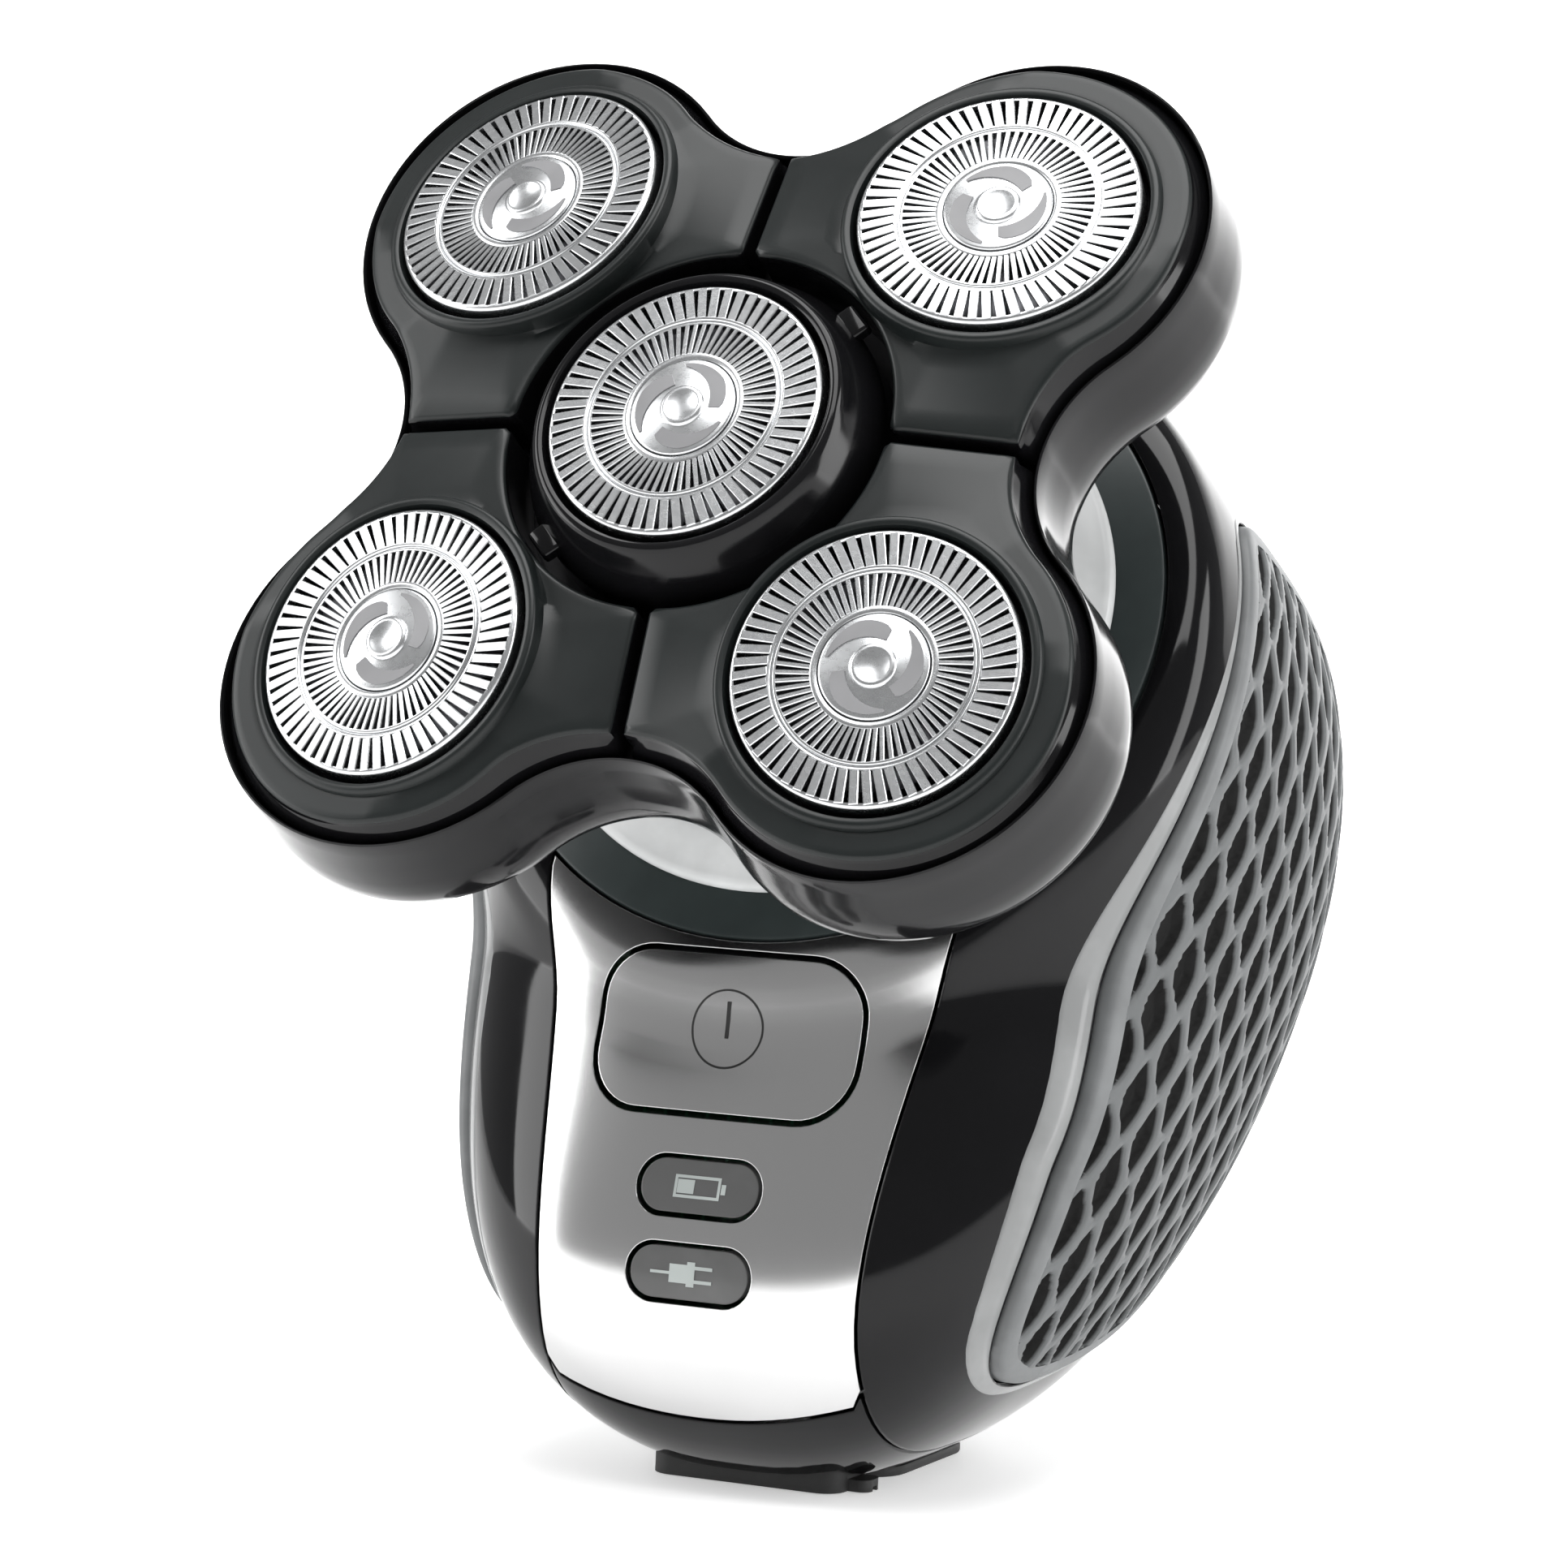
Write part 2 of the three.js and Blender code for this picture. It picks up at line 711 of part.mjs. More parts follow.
function boardScrew(x, z) {
  return rodAlongY(1.9, -4.7, -3.7, x, z).add(rodAlongY(0.85, -4, 0.9, x, z, 10));
}

function cell(x) {
  const can = rod(7, 7.8, 44.6, 24).add(rod(2.2, 44, 46, 12));
  return shifted(can, x, 16, 0);
}

// ------------------------------------------------------------- assembly

const BLACK = 0x17191a;
const STEEL = 0xc8cacb;
const SILVER = 0xb9bcbe;
const GREY = 0x8f9394;

add('head_base', onHead(headBase()), 0x0d0e0f, 0.2, 0.15);
add('gear_plate', onHead(gearPlate()), 0x2b2d2e);
add('pod', onHead(pod()), BLACK, 0.2, 0.2);
add('guard_0', onHead(guard()), STEEL, 0.9, 0.25);
add('cap_0', onHead(guardCap()), SILVER, 0.9, 0.2);
add('cutter_0', onHead(cutter(-8.2)), 0x9a9d9f, 0.8, 0.3);
add('centre_gear', onHead(centreGear()), 0xd8d6cc);
for (let i = 0; i < 4; i += 1) {
  const place = lobeMatrix(i);
  add(`lobe_${i + 1}`, onHead(lobeCover(i)), BLACK, 0.2, 0.2);
  add(`guard_${i + 1}`, onHead(moved(guard(), place)), STEEL, 0.9, 0.25);
  add(`cap_${i + 1}`, onHead(moved(guardCap(), place)), SILVER, 0.9, 0.2);
  add(`cutter_${i + 1}`, onHead(moved(cutter(-4.9), place)), 0x9a9d9f, 0.8, 0.3);
  add(`gear_${i + 1}`, onHead(outerGear(i)), 0xd8d6cc);
}

add('front_panel', frontPanel(), SILVER, 0.9, 0.1);
add('deck_plate', deckPlate(), 0x23292a, 0.2, 0.25);
add('right_shell', sideShell(1), BLACK, 0.1, 0.1);
add('left_shell', sideShell(-1), BLACK, 0.1, 0.1);
add('back_shell', backShell(), BLACK, 0.1, 0.15);
add('right_grip', grip(1), GREY, 0, 0.7);
add('left_grip', grip(-1), GREY, 0, 0.7);
add('base_cap', baseCap(), 0x141516, 0.1, 0.2);
add('foot_pad', footPad(), 0x1c1d1e, 0, 0.8);
add('port_cover', portCover(), 0x1a1b1c, 0, 0.7);
add('charge_socket', chargeSocket(), 0xb8babb, 0.9, 0.3);
add('power_button', powerButton(), SILVER, 0.9, 0.1);
add('battery_lens', lens(25.9), 0x6a6c6e, 0, 0.3);
add('plug_lens', lens(19), 0x6a6c6e, 0, 0.3);
add('collar', onHead(collar()), 0x9ea4a6, 0.3, 0.3);
add('neck_seal', onHead(neckSeal()), 0x101010, 0, 0.7);
add('drive_shaft', onHead(driveShaft()), STEEL, 0.9, 0.3);
add('motor', onHead(motor()), 0xa8abad, 0.9, 0.35);
add('chassis', chassis(), 0x3a3d3f);
add('circuit_board', circuitBoard(), 0x1d5a34);
add('tact_switch', box(-3, 3, -5, -3.7, 35, 41), 0x2a2a2a);
add('battery_light', box(-1.2, 1.2, -10, -3.7, 25, 26.8), 0xf2f2ee);
add('plug_light', box(-1.2, 1.2, -10.6, -3.7, 18.1, 19.9), 0xf2f2ee);
add('battery_1', cell(-7.5), 0x3f6f9a);
add('battery_2', cell(7.5), 0x3f6f9a);
BOARD_HOLES.forEach(([x, z], i) => add(`board_screw_${i + 1}`, boardScrew(x, z), STEEL, 0.9, 0.3));

export default group;
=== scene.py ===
"""Five-cutter head shaver: fine pieces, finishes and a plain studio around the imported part."""

import math

import bmesh
import bpy
import numpy as np
from mathutils import Matrix, Vector


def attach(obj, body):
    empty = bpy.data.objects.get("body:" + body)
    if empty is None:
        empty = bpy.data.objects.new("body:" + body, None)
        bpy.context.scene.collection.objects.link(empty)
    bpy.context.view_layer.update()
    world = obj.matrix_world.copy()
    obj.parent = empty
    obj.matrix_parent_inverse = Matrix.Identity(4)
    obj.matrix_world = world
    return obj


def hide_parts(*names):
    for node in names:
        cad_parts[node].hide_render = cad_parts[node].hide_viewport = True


bl_info = {
    "name": "Head shaver",
    "version": (1, 0, 0),
    "blender": (4, 5, 0),
    "location": "View3D > Sidebar > Shaver",
    "description": "Models the visible pieces of a five-cutter head shaver on its packed parts",
    "category": "Object",
}

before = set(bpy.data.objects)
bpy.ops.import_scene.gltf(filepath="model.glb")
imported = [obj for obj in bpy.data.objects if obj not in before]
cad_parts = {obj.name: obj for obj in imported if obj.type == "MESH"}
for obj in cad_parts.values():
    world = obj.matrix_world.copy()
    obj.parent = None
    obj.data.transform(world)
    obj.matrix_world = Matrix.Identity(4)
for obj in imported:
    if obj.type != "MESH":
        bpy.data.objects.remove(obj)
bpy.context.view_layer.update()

# Everything is drawn in millimetres and brought to metres when a piece is finished.
MM = 0.001
FOOT_CENTRE_Y = 16.4
HEAD_Y, HEAD_Z = -22.0, 88.5
HEAD_TILT = math.radians(30)
LOBE_DISTANCE = 29.5
LOBE_TILT = math.radians(8.2)
LOBE_FACE_N = -2.33
NOTCH_SUM = 28.5
POD_HOLE_R = 16.3
DECK_N = -34.3
WALL = 2.0
GAP = 0.3
FLOOR_Z = 1.2

# Egg-shaped body: level slices below, a dome round the head's axis above.
EGG_HALF_WIDTH = 33.8
EGG_FRONT = 34.6
EGG_BACK = 36.0
EGG_WIDEST_Z = 55.0
EGG_DROP = 55.5
EGG_RISE = 36.0
DOME_R = 35.3
DOME_N = -53.0
DOME_HALF = 37.0
BODY_CENTRE_N = -62.0

# Fittings of the body.
PANEL_LOW_Z, PANEL_SIDE = 10.6, 45.4
PANEL_FRONT_Y, PANEL_BACK_Y = -30, 6
BUTTON_HALF, BUTTON_LOW_Z, BUTTON_HIGH_Z, BUTTON_R = 11.5, 31.8, 44.4, 4.4
MARK_Z = 38.5
PILL_HALF, PILL_HALF_HEIGHT, PILL_R = 5.2, 2.1, 2.05
BATTERY_Z = 25.9
PLUG_Z = 19.0
BACK_HALF, BACK_LOW_Z, BACK_HIGH_Z, BACK_R = 14, 12, 84, 6
DECK_HOLE_R = 29.8
GRIP_POINTS = 480

# Cutting head.
LOBE_R = 15.8
LOBE_TOP_R = 15.0
SEAM_HALF = 0.5
OUTER_TRACK_R = 9.9
INNER_TRACK_R = 6.2

BODY = Matrix.Translation((0, -FOOT_CENTRE_Y, 0))
HEAD = BODY @ Matrix.Translation((0, HEAD_Y, HEAD_Z)) @ Matrix((
    (1, 0, 0, 0),
    (0, math.sin(HEAD_TILT), -math.cos(HEAD_TILT), 0),
    (0, math.cos(HEAD_TILT), math.sin(HEAD_TILT), 0),
    (0, 0, 0, 1),
))


def lobe_frame(index):
    """Head frame turned so that lobe `index` lies on +X."""
    return HEAD @ Matrix.Rotation(math.radians(45 + 90 * (index - 1)), 4, "Z")


def cutter_frame(index):
    """Frame of one cutter, its face at z 0. The middle one is number 0."""
    if index == 0:
        return HEAD
    tilt = Matrix.Rotation(LOBE_TILT, 4, "Y")
    return lobe_frame(index) @ Matrix.Translation((LOBE_DISTANCE, 0, LOBE_FACE_N)) @ tilt


# ------------------------------------------------------------- settings


def length_mm(name, description, default):
    return bpy.props.FloatProperty(name=name, description=description, default=default * MM,
                                   unit="LENGTH", precision=5)


def colour(name, description, default):
    return bpy.props.FloatVectorProperty(name=name, description=description, default=default,
                                         subtype="COLOR", size=3, min=0, max=1)


class ShaverHeadSettings(bpy.types.PropertyGroup):
    """Sizes of the cutting head."""

    outer_slots: bpy.props.IntProperty(
        name="Outer slots", description="Slots in a guard's outer track", default=60, min=24, max=90)
    inner_slots: bpy.props.IntProperty(
        name="Inner slots", description="Slots in a guard's inner track", default=66, min=24, max=90)
    slot_width: length_mm("Slot width", "Width of a slot in a guard", 0.3)
    petals: bpy.props.IntProperty(
        name="Petals", description="Raised petals on a cutter's cap", default=3, min=2, max=6)
    edge_round: length_mm("Lobe edge", "Rounding along the top edge of a lobe", 0.5)


class ShaverBodySettings(bpy.types.PropertyGroup):
    """Sizes of the handle."""

    pocket_pitch: length_mm("Pocket pitch", "Height from one grip pocket to the next", 6.9)
    column_pitch: length_mm("Column pitch", "Spacing of the columns of grip pockets", 3.1)
    pocket_depth: length_mm("Pocket depth", "Depth of a grip pocket", 1.1)
    grip_raise: length_mm("Grip raise", "How far a grip stands proud of the shell", 0.7)


class ShaverColours(bpy.types.PropertyGroup):
    """Colours of the finishes."""

    gloss: colour("Gloss black", "Glossy black plastic of the shells", (0.004, 0.004, 0.0045))
    satin: colour("Satin black", "Satin face of the lobes and the deck", (0.0075, 0.0095, 0.0095))
    silver: colour("Mirror silver", "Plated front panel and button", (0.66, 0.66, 0.66))
    steel: colour("Cutter steel", "Guards and caps", (0.62, 0.63, 0.64))
    grip: colour("Grip rubber", "Raised web of the grips", (0.115, 0.12, 0.122))
    # The collar's light grey is a painted reflection on the neck; the trim round the grips takes a darker
    # share of it as a painted highlight.
    collar: colour("Collar grey", "Collar and the trim round the grips", (0.52, 0.53, 0.53))
    rubber: colour("Black rubber", "Port cover and foot", (0.012, 0.012, 0.012))
    floor: colour("Floor", "Studio floor and backdrop", (0.92, 0.92, 0.92))


# ------------------------------------------------------------- finishes


class Wire:
    """A shader socket that can stand in a sum."""

    def __init__(self, finish, socket):
        self.finish = finish
        self.socket = socket

    def math(self, operation, a, b):
        return self.finish.node("ShaderNodeMath", {"operation": operation}, {0: a, 1: b})

    def __add__(self, other):
        return self.math("ADD", self, other)

    __radd__ = __add__

    def __mul__(self, other):
        return self.math("MULTIPLY", self, other)

    __rmul__ = __mul__

    def __sub__(self, other):
        return self.math("SUBTRACT", self, other)

    def __rsub__(self, other):
        return self.math("SUBTRACT", other, self)


class Finish:
    """One material while it is being wired up."""

    def __init__(self, name):
        self.material = bpy.data.materials.new(name)
        self.material.use_nodes = True
        self.tree = self.material.node_tree
        self.shader = self.tree.nodes["Principled BSDF"]
        self.place = self.node("ShaderNodeTexCoord", {}, {}, output="Object")

    def node(self, kind, settings, values, output=0):
        made = self.tree.nodes.new(kind)
        for key, value in settings.items():
            if key == "stops":
                self.stops(made.color_ramp, value)
            else:
                setattr(made, key, value)
        for key, value in values.items():
            self.plug(made.inputs[key], value)
        return Wire(self, made.outputs[output])

    def stops(self, ramp, stops):
        while len(ramp.elements) < len(stops):
            ramp.elements.new(1.0)
        for element, (position, value) in zip(ramp.elements, stops):
            element.position = position
            element.color = (value, value, value, 1)

    def plug(self, socket, value):
        if isinstance(value, Wire):
            self.tree.links.new(value.socket, socket)
        elif isinstance(value, (tuple, list)) and len(value) == 3 and socket.type == "RGBA":
            socket.default_value = (*value, 1)
        else:
            socket.default_value = value

    def noise(self, per_mm, detail=2.0, roughness=0.5, stretch=None):
        where = self.place
        if stretch:
            where = self.node("ShaderNodeMapping", {}, {"Vector": where, "Scale": stretch})
        return self.node("ShaderNodeTexNoise", {}, {
            "Vector": where, "Scale": per_mm * 1000, "Detail": detail, "Roughness": roughness})

    def ramp(self, value, *stops):
        return self.node("ShaderNodeValToRGB", {"stops": stops}, {"Fac": value})

    def mix(self, factor, a, b):
        made = self.tree.nodes.new("ShaderNodeMix")
        made.data_type = "RGBA"
        for socket, value in ((made.inputs[0], factor), (made.inputs[6], a), (made.inputs[7], b)):
            self.plug(socket, value)
        return Wire(self, made.outputs[2])

    def bump(self, height, strength, distance_mm, normal=None):
        values = {"Height": height, "Strength": strength, "Distance": distance_mm * MM}
        if normal:
            values["Normal"] = normal
        return self.node("ShaderNodeBump", {}, values)

    def rounded(self, radius_mm):
        """Soft edge where two faces meet."""
        return self.node("ShaderNodeBevel", {"samples": 6}, {"Radius": radius_mm * MM})

    def set(self, **values):
        for key, value in values.items():
            self.plug(self.shader.inputs[key.replace("_", " ")], value)
        return self.material


def shade(tone, factor):
    return tuple(min(1.0, channel * factor) for channel in tone)


def gloss_plastic(name, tone, rough=0.06, edge=0.3):
    """Polished moulded plastic with a faint ripple and a little handling haze."""
    f = Finish(name)
    haze = f.ramp(f.noise(0.09, 4, 0.6), (0.45, 0.0), (0.75, 1.0))
    dust = f.ramp(f.noise(2.2, 2, 0.5), (0.66, 0.0), (0.74, 1.0))
    colour_now = f.mix(haze * 0.5, tone, shade(tone, 1.6))
    normal = f.bump(f.noise(0.35, 2, 0.4), 0.012, 0.05, f.rounded(edge) if edge else None)
    return f.set(Base_Color=colour_now, Roughness=haze * 0.05 + dust * 0.05 + rough, Normal=normal,
                 IOR=1.32)


def satin_plastic(name, tone, rough=0.36):
    """Fine spark-eroded plastic."""
    f = Finish(name)
    fine = f.noise(6.0, 3, 0.6)
    patch = f.noise(0.12, 3, 0.55)
    colour_now = f.mix(f.ramp(patch, (0.35, 0.0), (0.65, 1.0)), shade(tone, 0.9), shade(tone, 1.15))
    return f.set(Base_Color=colour_now, Roughness=fine * 0.12 + patch * 0.06 + rough - 0.09,
                 Normal=f.bump(fine, 0.05, 0.04), IOR=1.36)


def rubber(name, tone, rough=0.62):
    """Matt rubber with dust in its grain."""
    f = Finish(name)
    fine = f.noise(5.0, 4, 0.65)
    patch = f.ramp(f.noise(0.2, 3, 0.6), (0.4, 0.0), (0.7, 1.0))
    colour_now = f.mix(patch, tone, shade(tone, 1.3))
    return f.set(Base_Color=colour_now, Roughness=fine * 0.15 + rough - 0.08,
                 Normal=f.bump(fine, 0.1, 0.05))


def plated(name, tone, rough=0.05, edge=0.25):
    """Bright plated plastic, hardly rippled, with wipe marks."""
    f = Finish(name)
    wipe = f.ramp(f.noise(0.12, 4, 0.6, stretch=(1, 1, 0.25)), (0.4, 0.0), (0.8, 1.0))
    colour_now = f.mix(wipe * 0.5, tone, shade(tone, 0.96))
    normal = f.bump(f.noise(0.25, 2, 0.4), 0.01, 0.04, f.rounded(edge) if edge else None)
    return f.set(Base_Color=colour_now, Metallic=1.0, Roughness=wipe * 0.02 + rough, Normal=normal)


def steel(name, tone, rough=0.24):
    """Ground steel: short scratches and slight staining."""
    f = Finish(name)
    scratch = f.noise(1.6, 5, 0.7, stretch=(1, 3, 1))
    stain = f.ramp(f.noise(0.25, 3, 0.6), (0.35, 0.0), (0.8, 1.0))
    colour_now = f.mix(stain, tone, shade(tone, 0.86))
    worn = scratch * 0.14 + stain * 0.05 + rough - 0.07
    return f.set(Base_Color=colour_now, Metallic=1.0, Roughness=worn, Normal=f.bump(scratch, 0.02, 0.03))


def circuit_board_finish():
    """Green lacquered board with darker tracks under the lacquer."""
    f = Finish("green_board")
    tracks = f.node("ShaderNodeTexBrick", {}, {
        "Vector": f.place, "Scale": 260.0, "Mortar Size": 0.035,
        "Color1": (0.015, 0.12, 0.045), "Color2": (0.012, 0.1, 0.038), "Mortar": (0.03, 0.2, 0.08)})
    return f.set(Base_Color=tracks, Roughness=f.noise(0.6) * 0.15 + 0.22)


def wrapped_cell_finish():
    """Shrink-wrapped cell with fine wrinkles."""
    f = Finish("cell_sleeve")
    wrinkle = f.noise(0.4, 3, 0.6, stretch=(1, 1, 0.2))
    colour_now = f.mix(f.ramp(wrinkle, (0.4, 0.0), (0.7, 1.0)), (0.035, 0.11, 0.2), (0.05, 0.15, 0.27))
    return f.set(Base_Color=colour_now, Roughness=wrinkle * 0.2 + 0.25, Normal=f.bump(wrinkle, 0.15, 0.1))


def grip_finish(tone):
    """Grey rubber web; the pockets are painted near-black by their depth, painted shade in the recesses,
    told apart by the pocket depth kept on the mesh.
    """
    f = Finish("grip_web")
    depth = f.node("ShaderNodeAttribute", {"attribute_name": "pocket"}, {}, output="Fac")
    fine = f.noise(5.0, 4, 0.65)
    patch = f.ramp(f.noise(0.15, 3, 0.6), (0.4, 0.0), (0.7, 1.0))
    web = f.mix(patch, shade(tone, 0.94), shade(tone, 1.08))
    # Painted shade: near-black laid into the pockets by their depth.
    black = f.ramp(depth, (0.1, 0.0), (0.34, 1.0))
    colour_now = f.mix(black, web, (0.004, 0.004, 0.004))
    return f.set(Base_Color=colour_now, Roughness=fine * 0.14 + 0.42 + black * 0.2,
                 Normal=f.bump(fine, 0.08, 0.04), IOR=1.3)


finishes = {}


def make_finishes():
    """Every finish, made once from the scene's colours."""
    c = bpy.context.scene.shaver_colours
    tone = {key: tuple(getattr(c, key)) for key in ShaverColours.__annotations__}
    finishes.update(
        gloss=gloss_plastic("gloss_black", tone["gloss"]),
        rim=gloss_plastic("gloss_black_rim", tone["gloss"], rough=0.1, edge=0.0),
        satin=satin_plastic("satin_black", tone["satin"], rough=0.34),
        # The deck is the lobes' satin made 3.6 times lighter: a painted sheen, a lit copy of the same satin
        # plastic.
        deck=satin_plastic("deck_satin", shade(tone["satin"], 3.6), rough=0.32),
        silver=plated("mirror_silver", tone["silver"], rough=0.17, edge=0.12),
        steel=steel("cutter_steel", tone["steel"]),
        cap=steel("cap_steel", shade(tone["steel"], 1.05), rough=0.26),
        petal=satin_plastic("cap_petal_grey", (0.2, 0.2, 0.205), rough=0.4),
        dark_steel=steel("dark_steel", (0.16, 0.16, 0.17), rough=0.34),
        grip=grip_finish(tone["grip"]),
        grip_band=rubber("grip_rubber", tone["grip"], rough=0.5),
        # The trim's grey is a painted highlight along the edge of the shell round each grip.
        trim=gloss_plastic("trim_grey", shade(tone["collar"], 0.42), rough=0.16, edge=0.0),
        # The collar's grey is a painted reflection of the studio.
        collar=gloss_plastic("collar_grey", tone["collar"], rough=0.22, edge=0.0),
        rubber=rubber("black_rubber", tone["rubber"]),
        lens=gloss_plastic("lens_grey", (0.10, 0.10, 0.10), rough=0.12, edge=0.2),
        mark=satin_plastic("mark_dark", (0.02, 0.02, 0.02)),
        icon=satin_plastic("mark_light", (0.36, 0.39, 0.38), rough=0.4),
        gear=satin_plastic("gear_plastic", (0.78, 0.78, 0.74), rough=0.4),
        inner=satin_plastic("inner_plastic", (0.05, 0.05, 0.055), rough=0.5),
        board=circuit_board_finish(),
        cell=wrapped_cell_finish(),
        light=satin_plastic("light_diffuser", (0.8, 0.8, 0.78), rough=0.3),
    )


# ------------------------------------------------------ modelling tools


def only_verts(geom):
    return [g for g in geom if isinstance(g, bmesh.types.BMVert)]


def face_out(bm):
    """Turns every face outwards."""
    bmesh.ops.recalc_face_normals(bm, faces=bm.faces)


def bevel(bm, edges, width, segments):
    bmesh.ops.bevel(bm, geom=edges, offset=width, offset_type="OFFSET", affect="EDGES", segments=segments,
                    profile=0.5, material=-1)


def link(name, data):
    """A new object of the scene."""
    thing = bpy.data.objects.new(name, data)
    bpy.context.scene.collection.objects.link(thing)
    return thing


def lathe(bm, profile, steps=96, closed=True):
    """A profile of (radius, height) spun round Z."""
    verts = [bm.verts.new((radius, 0, height)) for radius, height in profile]
    ends = verts[1:] + verts[:1] if closed else verts[1:]
    edges = [bm.edges.new(pair) for pair in zip(verts, ends)]
    bmesh.ops.spin(bm, geom=verts + edges, cent=(0, 0, 0), axis=(0, 0, 1), dvec=(0, 0, 0),
                   angle=2 * math.pi, steps=steps, use_merge=True)


def loft(bm, loops, count=96):
    """A ring of vertices extruded from loop to loop and joined back to the first.
    A loop is a function from turn to point."""
    turn = bm.verts.layers.float.get("turn") or bm.verts.layers.float.new("turn")
    ring = bmesh.ops.create_circle(bm, segments=count, radius=1)["verts"]
    for vert in ring:
        vert[turn] = math.atan2(vert.co.y, vert.co.x)
        vert.co = loops[0](vert[turn])
    first = list({edge for vert in ring for edge in vert.link_edges})
    edges = first
    for loop in loops[1:]:
        made = bmesh.ops.extrude_edge_only(bm, edges=edges)["geom"]
        fresh = set(only_verts(made))
        for vert in fresh:
            vert.co = loop(vert[turn])
        edges = [g for g in made if isinstance(g, bmesh.types.BMEdge) and fresh.issuperset(g.verts)]
    return first, edges


def close_loft(bm, first, last):
    bmesh.ops.bridge_loops(bm, edges=first + last)


def soften(bm, width, angle=0.6):
    """Bevels every edge sharper than `angle`."""
    sharp = [e for e in bm.edges if len(e.link_faces) == 2 and abs(e.calc_face_angle(0)) > angle]
    bmesh.ops.bevel(bm, geom=sharp, offset=width, offset_type="OFFSET", affect="EDGES", segments=2,
                    profile=0.5, material=-1, clamp_overlap=True)
    face_out(bm)


def tidy(bm):
    bmesh.ops.remove_doubles(bm, verts=bm.verts, dist=1e-4)
    face_out(bm)


def finish_piece(name, bm, place, body, nodes, materials, sharp=40, skin=False):
    """Brings a mesh to metres in the row frame and hangs it on its body."""
    bmesh.ops.transform(bm, matrix=Matrix.Scale(MM, 4) @ place, verts=bm.verts)
    mesh = bpy.data.meshes.new(name)
    bm.to_mesh(mesh)
    bm.free()
    for material in materials:
        mesh.materials.append(finishes[material])
    mesh.shade_smooth()
    if skin:
        follow_skin(mesh)
    else:
        mesh.set_sharp_from_angle(angle=math.radians(sharp))
    piece = link(name, mesh)
    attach(piece, body)
    if nodes:
        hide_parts(*nodes)


def carve(bm, *steps):
    """Exact booleans on a mesh: each step is (operation, tool mesh)."""
    made = []

    def scratch(mesh_source):
        mesh = bpy.data.meshes.new("scratch")
        mesh_source.to_mesh(mesh)
        mesh_source.free()
        made.append(link("scratch", mesh))
        return made[-1]

    base = scratch(bm)
    for operation, tool in steps:
        modifier = base.modifiers.new("carve", "BOOLEAN")
        modifier.operation = operation
        modifier.solver = "EXACT"
        modifier.object = scratch(tool)
    graph = bpy.context.evaluated_depsgraph_get()
    result = bmesh.new()
    result.from_object(base, graph)
    for thing in made:
        mesh = thing.data
        bpy.data.objects.remove(thing)
        bpy.data.meshes.remove(mesh)
    return result


def prism(outline, axis, low, high):
    """An outline in the plane across `axis`, drawn out from low to high."""
    bm = bmesh.new()
    place = "xyz".index(axis)
    verts = [bm.verts.new((*point[:place], low, *point[place:])) for point in outline]
    moved = bmesh.ops.extrude_face_region(bm, geom=[bm.faces.new(verts)])["geom"]
    step = [high - low if place == along else 0 for along in range(3)]
    bmesh.ops.translate(bm, vec=step, verts=only_verts(moved))
    face_out(bm)
    return bm


def block(x0, x1, y0, y1, z0, z1):
    bm = bmesh.new()
    size = Matrix.Diagonal((x1 - x0, y1 - y0, z1 - z0, 1))
    middle = Matrix.Translation(((x0 + x1) / 2, (y0 + y1) / 2, (z0 + z1) / 2))
    bmesh.ops.create_cube(bm, size=1, matrix=middle @ size)
    return bm


def rounded_outline(x0, x1, y0, y1, r, steps=10):
    points = []
    corners = (x1 - r, y0 + r, -90), (x1 - r, y1 - r, 0), (x0 + r, y1 - r, 90), (x0 + r, y0 + r, 180)
    for cx, cy, start in corners:
        for i in range(steps + 1):
            a = math.radians(start + 90 * i / steps)
            points.append((cx + r * math.cos(a), cy + r * math.sin(a)))
    return points


# ------------------------------------------------------------ body skin


def smooth_min(a, b, k):
    h = np.clip(0.5 + 0.5 * (b - a) / k, 0, 1)
    return b * (1 - h) + a * h - k * h * (1 - h)


def skin_field(p):
    """Negative inside the body, positive outside, for points in body millimetres."""
    x, y, z = p[..., 0], p[..., 1], p[..., 2]
    ey, ez = y - HEAD_Y, z - HEAD_Z
    n = -math.cos(HEAD_TILT) * ey + math.sin(HEAD_TILT) * ez
    u = math.sin(HEAD_TILT) * ey + math.cos(HEAD_TILT) * ez
    radial, axial = np.hypot(x, u) / DOME_R, np.abs(n - DOME_N) / DOME_HALF
    dome = ((radial ** 2.6 + axial ** 2.6) ** (1 / 2.6) - 1) * DOME_R
    lean = np.clip((z - 3) / 50, 0, 1)
    middle = 11.5 + 18 * (3 * lean ** 2 - 2 * lean ** 3)
    share = np.where(z < EGG_WIDEST_Z, (EGG_WIDEST_Z - z) / EGG_DROP, (z - EGG_WIDEST_Z) / EGG_RISE)
    held = np.clip(share, 0, 0.9995)
    half_width = EGG_HALF_WIDTH * (1 - held ** 2.2) ** (1 / 2.2)
    front = y < middle
    half_depth = np.where(front, EGG_FRONT * (1 - held ** 2.7) ** (1 / 2.7),
                          EGG_BACK * (1 - held ** 3.2) ** (1 / 3.2))
    power = np.where(front, 3.0, 2.6)
    across = (np.abs(x) / half_width) ** power + (np.abs(y - middle) / half_depth) ** power
    egg = (across ** (1 / power) - 1) * np.minimum(half_width, half_depth)
    egg = np.where(share >= 1, np.maximum(egg, (share - 1) * EGG_DROP + 0.1), egg)
    return -smooth_min(-smooth_min(dome, egg, 5), -(n - DECK_N), 3)


